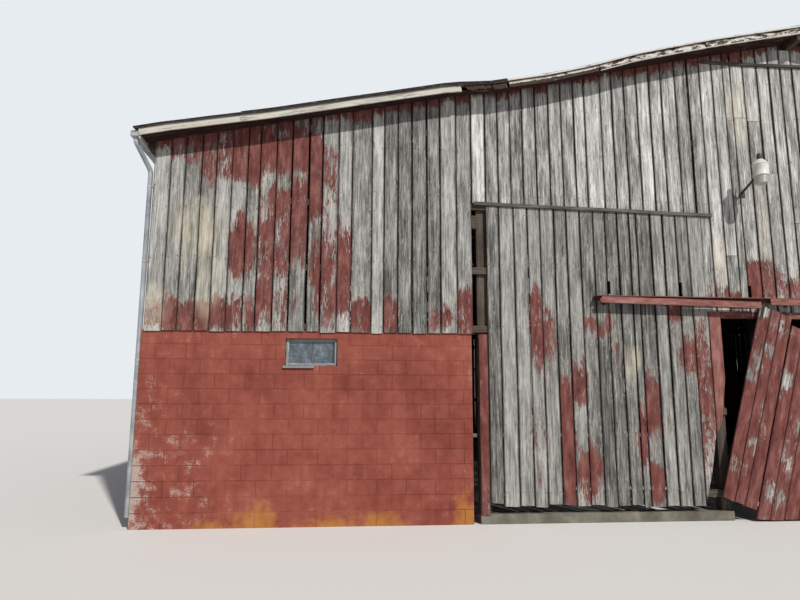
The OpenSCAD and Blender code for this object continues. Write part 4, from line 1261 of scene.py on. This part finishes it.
def make_gutters():
    """Folded channels with rolled lips, laps every 3 m and a strap every 0.9 m."""
    y0, y1 = low("gutters")[1], high("gutters")[1]
    w, h, t = GUTTER_X - FASCIA_X, GUTTER_TOP - GUTTER_FOOT, 0.003
    lip_w, lip_h, overlap, strap_pitch = 0.010, 0.004, 0.05, 0.9
    section = [(0, h), (0, 0), (w, 0), (w, h), (w - lip_w, h), (w - lip_w, h - lip_h), (w - t, h - lip_h),
               (w - t, t), (t, t), (t, h)]
    plate = [(0, 0), (w, 0), (w, h), (0, h)]
    metal = Parts()
    joints = np.linspace(y0, y1, 6)
    for side in (-1, 1):
        turn = flipped if side > 0 else list
        for k, (a, b) in enumerate(zip(joints, joints[1:])):
            grow = 0.0012 * (k % 2)
            rings = []
            for y in (a, b + (overlap if b < y1 else 0.0)):
                rings += [(side * (FASCIA_X + u), y, GUTTER_FOOT + z - (grow if z < t else 0))
                          for u, z in section]
            metal.add(rings, turn(ring_faces(2, len(section))))
        for y in (y0 + 0.002, y1 - 0.002):
            points = [(side * (FASCIA_X + u), y + d, GUTTER_FOOT + z)
                      for d in (-0.0015, 0.0015) for u, z in plate]
            metal.add(points, turn(ring_faces(2, 4)))
        for y in np.arange(y0 + 0.4, y1, strap_pitch):
            a, b = side * (FASCIA_X + 0.001), side * (GUTTER_X - 0.004)
            strap = [(a, y, GUTTER_TOP - 0.006), ((a + b) / 2, y, GUTTER_TOP - 0.003),
                     (b, y, GUTTER_TOP - 0.005)]
            tube(metal, strap, radius=0.003, around=6)
    metal.make("gutter_channels", "gutter", "gutter_metal", replaces=("gutters",), smooth=40)


def smooth_path(corners, reach, radius):
    """A path through corners with rounded bends, and the pipe's radius at each point, pleated in them."""
    path, radii = [corners[0]], [radius]
    for before, corner, after in zip(corners, corners[1:], corners[2:]):
        a = corner + reach * (before - corner) / np.linalg.norm(before - corner)
        b = corner + reach * (after - corner) / np.linalg.norm(after - corner)
        for i in range(9):
            t = i / 8
            path.append((1 - t) ** 2 * a + 2 * t * (1 - t) * corner + t ** 2 * b)
            radii.append(radius + (0.0015 if i % 2 else -0.001))
    path.append(corners[-1])
    radii.append(radius)
    return path, radii


def make_downspouts():
    """Round pipes with pleated bends, joints with a bead, and clamps on the blocks."""
    pipe_r, collar_r = 0.035, 0.039
    outlet_x, outlet_y = (FASCIA_X + GUTTER_X) / 2, RAKE_FRONT + 0.09
    wall_x, wall_y = BLOCK_X + collar_r, FRONT + 0.06
    joints, clamps = (GUTTER_FOOT - 0.62, 3.6, 1.9), (2.215, 0.9)
    metal = Parts()
    for side in (-1, 1):
        corners = [np.array(p) for p in ((side * outlet_x, outlet_y, GUTTER_FOOT + 0.003),
                                         (side * outlet_x, outlet_y, GUTTER_FOOT - 0.06),
                                         (side * wall_x, wall_y, GUTTER_FOOT - 0.38),
                                         (side * wall_x, wall_y, PIPE_FOOT))]
        path, radii = smooth_path(corners, reach=0.05, radius=pipe_r)
        tube(metal, path, radii, around=20)
        for z in joints:
            ring = [(side * wall_x, wall_y, z + d) for d in (0.012, 0.006, -0.006, -0.012)]
            tube(metal, ring, [pipe_r, collar_r, collar_r, pipe_r], around=20)
        for z in clamps:
            clamp = [(side * wall_x, wall_y, z + d) for d in (0.013, -0.013)]
            tube(metal, clamp, pipe_r + 0.003, around=20)
            for y in (wall_y - 0.05, wall_y + 0.05):
                bolt(metal, (side * (BLOCK_X + 0.001), y, z), (side, 0, 0))
    metal.make("downspout_pipes", "gutter", "gutter_metal", replaces=("downspouts",), smooth=35)


# Sliding doors: hood, cover boards, leaves, ledges and hangers

def make_hood():
    """The boards over the door track, and the cover boards that hang from them, one of them askew."""
    rng = np.random.default_rng(91)
    hood, cover = Parts(), Parts()
    top = high("track_hood")[2]
    depth = high("track_hood")[1] - HOOD_FRONT
    middle = HOOD_FRONT + depth / 2
    lengths = ((-TRACK_X, -0.9), (-0.897, 1.4), (1.403, TRACK_X))
    for x0, x1 in lengths:
        board(hood, (x0, middle, HOOD_FOOT), (x1, middle, HOOD_FOOT), UP, depth, top - HOOD_FOOT, rng,
              steps=14, bow=0.001, paint=0.95)
    # The hood takes the lighter red: painted sunlight
    hood.make("hood_boards", "faded", "red_boards", replaces=("track_hood",))

    back = high("track_cover_boards")[1]
    wide, thick = 0.1, 0.022
    sag = math.radians(1.1)

    def worn(u, _):
        """Paint worn off towards the lower edge."""
        return 1.05 - 0.75 * np.clip((u + 0.012) / (wide / 2), 0, 1) ** 3

    run = TRACK_X - 0.945
    drop = np.array([-math.sin(sag), 0, -math.cos(sag)]) * wide / 2
    along = np.array([math.cos(sag), 0, -math.sin(sag)])
    place = Place(np.array([-TRACK_X, back, HOOD_FOOT]) + drop, np.cross(along, FORWARD), along)
    plank(cover, place, -wide / 2, wide / 2 - 0.001, lambda u: 0.03 + 0.9 * abs(u - 0.012),
          lambda u: run - 0.003, thick, rng, steps=20, bow=0.002, paint=worn)
    middle = HOOD_FOOT - wide / 2
    board(cover, (-0.80, back, middle), (TRACK_X, back, middle), FORWARD, wide - 0.001, thick, rng,
          steps=20, bow=0.002, paint=worn)
    # The cover boards take the lighter red: painted sunlight
    cover.make("track_cover_planks", "faded", "red_boards", replaces=("track_cover_boards",))


# The left leaf as in the model: its size, its lean and racking, its split, the corner that it hangs by
LEAF_W = 1.55
LEAF_H = 2.89
LEAF_T = 0.025
LEAF_LEAN = math.radians(16.4)
LEAF_RACK = math.radians(22.0)
LEAF_SPLIT = 0.54
SPLIT_DROP = 0.11
LEAF_CORNER = np.array([-0.93, TRACK_Y, 3.11])
LEDGE_PLACES = (0.18, 1.40, 2.52)
LEDGE_W = 0.15
LEDGE_INSET = 0.03
GROUND_GAP = 0.012

# Paint lost on the left leaf: (x, z, half width, half height, strength)
LEAF_WEAR = ((-0.90, 3.04, 0.08, 0.12, 0.9), (-1.19, 2.06, 0.07, 0.10, 0.8), (-1.02, 2.25, 0.08, 0.16, 0.45),
             (-0.60, 2.72, 0.16, 0.20, 0.5), (-0.78, 1.90, 0.10, 0.30, 0.4), (-0.30, 2.10, 0.08, 0.20, 0.6),
             (-1.05, 1.35, 0.07, 0.25, 0.4), (-0.55, 1.20, 0.10, 0.35, 0.4), (-1.45, 0.75, 0.10, 0.15, 0.35),
             (-0.95, 0.40, 0.14, 0.20, 0.45), (-0.20, 0.80, 0.14, 0.30, 0.45), (-0.85, 2.45, 0.05, 0.10, 0.7),
             (-0.62, 2.02, 0.05, 0.16, 0.7), (-1.20, 1.05, 0.06, 0.12, 0.6), (-0.75, 0.85, 0.05, 0.20, 0.7))


def make_left_leaf():
    """The racked leaf: boards that lean, a split between its halves and a foot lost at the ground."""
    rng = np.random.default_rng(101)
    across = (math.cos(LEAF_RACK), 0, -math.sin(LEAF_RACK))
    along = (math.sin(LEAF_LEAN), 0, math.cos(LEAF_LEAN))
    place = Place(LEAF_CORNER, across, along)
    wear = spots(LEAF_WEAR)

    def paint(u, s):
        at = place.at(u, s, 0 * s)
        return 1.05 - wear(at[..., 0], at[..., 2]) - 0.25 * np.clip(1 - at[..., 2] / 0.5, 0, 1)

    def lowest(u):
        return (GROUND_GAP - LEAF_CORNER[2] + u * math.sin(LEAF_RACK)) / math.cos(LEAF_LEAN)

    leaf = Parts()
    for x0, x1, drop in ((0.0, LEAF_SPLIT - 0.012, 0.0), (LEAF_SPLIT + 0.004, LEAF_W, SPLIT_DROP)):
        board_wall(leaf, place, even_seams(x0, x1, rng, width=0.185, jitter=0.012),
                   lambda u: max(-LEAF_H - drop, lowest(u)) + 0.012, lambda u: -drop, rng,
                   thick=LEAF_T, gaps=(0.005, 0.011), bow=0.0015, steps=26, paint=paint)
    leaf.make("leaf_left_boards", "boards", "red_boards", body="door_left", replaces=("door_leaf_left",))

    ledges = Parts()
    behind = Place(LEAF_CORNER, along, across)

    def stop(w):
        level = LEAF_CORNER[2] + w * math.cos(LEAF_LEAN)
        return min(LEAF_W - LEDGE_INSET, (level - GROUND_GAP) / math.sin(LEAF_RACK))

    for v in LEDGE_PLACES:
        plank(ledges, behind, -v - LEDGE_W + 0.004, -v - 0.004, lambda w: LEDGE_INSET, stop,
              LEAF_T - 0.003, rng, steps=12, bow=0.001, depth=0.001, paint=0.7)
    ledges.make("leaf_left_ledges", "boards", "red_boards", body="door_left", replaces=("door_ledges_left",))


def make_right_leaf():
    rng = np.random.default_rng(111)
    x0, x1 = low("door_leaf_right")[0], high("door_leaf_right")[0]
    z0, z1 = low("door_leaf_right")[2], high("door_leaf_right")[2]
    place = Place((0, TRACK_Y, 0), RIGHT, UP)
    wear = spots(random_spots(rng, x0, x1, z0, z1, count=14))
    leaf = Parts()

    def paint(u, s):
        return 1.05 - 0.6 * wear(u, s) - 0.25 * np.clip(1 - s / 0.6, 0, 1)

    board_wall(leaf, place, even_seams(x0, x1, rng, width=0.194, jitter=0.012), lambda u: z0 + 0.012,
               lambda u: z1, rng, thick=LEAF_T, gaps=(0.003, 0.009), bow=0.0015, steps=24, paint=paint)
    leaf.make("leaf_right_boards", "boards", "red_boards", replaces=("door_leaf_right",))
    ledges = Parts()
    for v in LEDGE_PLACES:
        level = z1 - v - LEDGE_W / 2
        board(ledges, (x1 - LEDGE_INSET, TRACK_Y, level), (x0 + LEDGE_INSET, TRACK_Y, level), REARWARD,
              LEDGE_W - 0.008, LEAF_T - 0.003, rng, steps=10, bow=0.001, depth=0.001, paint=0.7)
    ledges.make("leaf_right_ledges", "boards", "red_boards", replaces=("door_ledges_right",))


# Windows

def make_windows():
    """Frames and sills of planks, and two glazing bars in each window. The first one's sill is broken."""
    rng = np.random.default_rng(121)
    wood, bars = Parts(), Parts()
    inset, thick, wide = 0.05, 0.06, 0.04
    bar_w, bar_t, sill_w, sill_t, overhang = 0.016, 0.012, 0.033, 0.028, 0.04
    straight = {"bow": 0.0005, "ragged": 0.0005}
    half, height = WINDOW_W / 2, WINDOW_TOP - WINDOW_Z
    up = np.array(UP, float)
    walls = [((side * FRONT_WINDOW_X, FRONT, WINDOW_Z), FORWARD) for side in (-1, 1)]
    walls += [((side * BLOCK_X, y, WINDOW_Z), (side, 0, 0)) for side in (-1, 1) for y in side_window_ys()]
    for number, (origin, outward) in enumerate(walls):
        broken = number == 0
        origin, outward = np.array(origin, float), np.array(outward, float)
        across = np.cross(up, outward)
        back = origin - outward * (inset + thick)
        for u in (-half + wide / 2, half - wide / 2):
            a = back + u * across
            board(wood, a, a + height * up, outward, wide, thick, rng, steps=3, **straight)
        for z in (wide / 2, height - wide / 2):
            a = back + (-half + wide) * across + z * up
            b = a + (WINDOW_W - 2 * wide) * across
            board(wood, a, b, outward, wide, thick, rng, steps=4, **straight)
        for u in (0.01, 0.30) if broken else (-0.107, 0.107):
            a = back + u * across + (thick / 2 + 0.003) * outward + wide * up
            b = a + (height - 2 * wide) * up
            board(bars, a, b, outward, bar_w, bar_t, rng, steps=3, **straight)
        length = 0.44 if broken else WINDOW_W + 2 * overhang
        a = origin + (-half - overhang) * across - 0.030 * up + 0.0175 * outward
        board(wood, a, a + length * across, up, sill_w, sill_t, rng, steps=5, bow=0.001,
              ragged=0.012 if broken else 0.001, skew=0.3 if broken else 0.0)
    wood.make("window_frames", "white", "white_trim", replaces=("window_stiles", "window_rails"))
    bars.make("glazing_bars", "dark_wood_and_shade", "white_trim")


# Yard light

def make_lamp():
    """A housing with a photocell on it, a ribbed lens under it, and the arm and plate that carry it."""
    centre = (LAMP_X, LAMP_Y, LAMP_Z)
    r = LAMP_R
    body = Parts()
    turned(body, centre, [(r - 0.030, 0.002), (r - 0.012, 0.0), (r - 0.003, 0.004), (r - 0.001, 0.012),
                          (r - 0.006, 0.020), (r - 0.010, 0.10), (r - 0.006, 0.165), (r, 0.172), (r, 0.182),
                          (r - 0.012, 0.190), (0.060, 0.246), (0.044, 0.258), (0.042, 0.262)], around=40)
    body.make("lamp_housing", "enamel", "lamp_enamel", replaces=("lamp_head",), smooth=35)
    cell = Parts()
    turned(cell, centre, [(0.036, 0.262), (0.039, 0.268), (0.039, 0.335), (0.034, 0.352), (0.020, 0.359)],
           around=24)
    cell.make("photocell", "dark", "lamp_enamel", smooth=35)
    lens = Parts()
    depth = LAMP_Z - low("lamp_lens")[2]
    ribs = [(0.022, -depth + 0.004), (0.070, -depth + 0.001)]
    for k in range(13):
        t = k / 12
        ribs.append((0.083 + 0.018 * t + (0.0022 if k % 2 else -0.001), -depth + 0.008 + t * (depth - 0.010)))
    turned(lens, centre, ribs, around=40)
    lens.make("lamp_refractor", "lens", "lens_plastic", replaces=("lamp_lens",), smooth=25)

    bracket = Parts()
    face = FRONT - BOARD_T
    foot = np.array([LAMP_X, FRONT, LAMP_Z - 0.11])
    tip = np.array([LAMP_X, LAMP_Y, LAMP_Z + 0.08])
    arm = (tip - foot) / np.linalg.norm(tip - foot)
    start = foot + arm * (face - FRONT) / arm[1]
    stop = foot + arm * (LAMP_Y + r - 0.012 - FRONT) / arm[1]
    tube(bracket, [start, start + 0.02 * arm, stop], [0.0205, 0.019, 0.019], around=20)
    tube(bracket, [start + 0.001 * arm, start + 0.022 * arm], radius=0.0225, around=20)
    half_w, half_h, plate_t = 0.045, 0.070, 0.008
    plate_z = low("lamp_bracket")[2] + half_h
    corners = [(-half_w, -half_h), (half_w, -half_h), (half_w, half_h), (-half_w, half_h)]
    points = []
    for scale, depth in ((1.0, 0.0), (1.0, 0.0065), (0.96, plate_t)):
        points += [(LAMP_X + u * scale, face - depth, plate_z + z * scale) for u, z in corners]
    bracket.add(points, ring_faces(3, 4))
    for z in (0.052, -0.052):
        for u in (-0.03, 0.03):
            bolt(bracket, (LAMP_X + u, face - plate_t, plate_z + z), FORWARD)
    bracket.make("lamp_arm_and_plate", "dark", "rusty_steel", replaces=("lamp_bracket",), smooth=35)


def make_carried_over():
    for node, material in (("posts", "timber_z"), ("tie_beams", "timber_x"), ("plate_beams", "timber_y"),
                           ("wall_girts", "timber_x"), ("knee_braces", "timber_z"), ("rafters", "rafter"),
                           ("ridge_beam", "timber_y"), ("footings", "concrete")):
        carry_over(node, material)
    for node in ("door_track", "track_brackets", "door_hanger_left", "door_hangers_right"):
        carry_over(node, "steel", edge=0.001)
    carry_over("window_panes", "glass", edge=0.0005)


make_block_walls()
make_front_boards()
make_other_boards()
make_strips_and_trim()
make_rake_boards()
make_soffits()
make_eaves()
make_roof()
make_gutters()
make_downspouts()
make_hood()
make_left_leaf()
make_right_leaf()
make_windows()
make_lamp()
make_carried_over()


# The camera of the photograph, over a plain pale floor

def make_floor():
    mesh = bpy.data.meshes.new("floor")
    reach = 150.0
    mesh.from_pydata([(-reach, -reach, 0), (reach, -reach, 0), (reach, reach, 0), (-reach, reach, 0)],
                     [], [(0, 1, 2, 3)])
    floor = bpy.data.objects.new("floor", mesh)
    bpy.context.scene.collection.objects.link(floor)
    mesh.materials.append(Graph("pale_floor").finish((0.68, 0.67, 0.65), 0.9, specular=0.1))


def make_light():
    """A soft sun from the front right, and a sky whose light is apart from the pale backdrop."""
    world = bpy.data.worlds.new("studio")
    bpy.context.scene.world = world
    world.use_nodes = True
    tree = world.node_tree
    tree.nodes.clear()
    path = tree.nodes.new("ShaderNodeLightPath")
    seen = path.outputs["Is Camera Ray"]
    for kind in ("Is Glossy Ray", "Is Transmission Ray"):
        either = tree.nodes.new("ShaderNodeMath")
        either.operation = "MAXIMUM"
        tree.links.new(seen, either.inputs[0])
        tree.links.new(path.outputs[kind], either.inputs[1])
        seen = either.outputs[0]
    both = tree.nodes.new("ShaderNodeMixShader")
    tree.links.new(seen, both.inputs[0])
    for place, color, strength in ((1, (0.80, 0.88, 1.0, 1.0), 0.30), (2, (0.80, 0.84, 0.88, 1.0), 1.0)):
        sky = tree.nodes.new("ShaderNodeBackground")
        sky.inputs["Color"].default_value = color
        sky.inputs["Strength"].default_value = strength
        tree.links.new(sky.outputs[0], both.inputs[place])
    out = tree.nodes.new("ShaderNodeOutputWorld")
    tree.links.new(both.outputs[0], out.inputs[0])

    sun = bpy.data.lights.new("key", "SUN")
    sun.energy = 3.7
    sun.angle = math.radians(2)
    sun.color = (1.0, 0.965, 0.92)
    lamp = bpy.data.objects.new("key", sun)
    lamp.rotation_mode = "QUATERNION"
    lamp.rotation_quaternion = Vector((0.45, -1.0, 0.92)).to_track_quat("Z", "Y")
    bpy.context.scene.collection.objects.link(lamp)


def make_camera():
    """Where the photograph was taken: an eye near the ground in front of the left half."""
    eye = Vector((-7.04, FRONT - 8.49, 1.78))
    yaw, pitch, roll = (math.radians(a) for a in (4.90, 8.80, 0.18))
    focal_px, width_px = 601.0, 800
    camera = bpy.data.cameras.new("camera")
    camera.sensor_width = 36.0
    camera.lens = focal_px / width_px * camera.sensor_width
    camera.clip_end = 500.0
    obj = bpy.data.objects.new("camera", camera)
    forward = Vector((math.sin(yaw) * math.cos(pitch), math.cos(yaw) * math.cos(pitch), math.sin(pitch)))
    right = Vector((math.cos(yaw), -math.sin(yaw), 0))
    up = right.cross(forward)
    turned_right = math.cos(roll) * right + math.sin(roll) * up
    turned_up = -math.sin(roll) * right + math.cos(roll) * up
    rows = Matrix((turned_right, turned_up, -forward)).transposed()
    obj.matrix_world = Matrix.Translation(eye) @ rows.to_4x4()
    bpy.context.scene.collection.objects.link(obj)
    bpy.context.scene.camera = obj


make_floor()
make_light()
make_camera()
bpy.context.scene.view_settings.view_transform = "Standard"
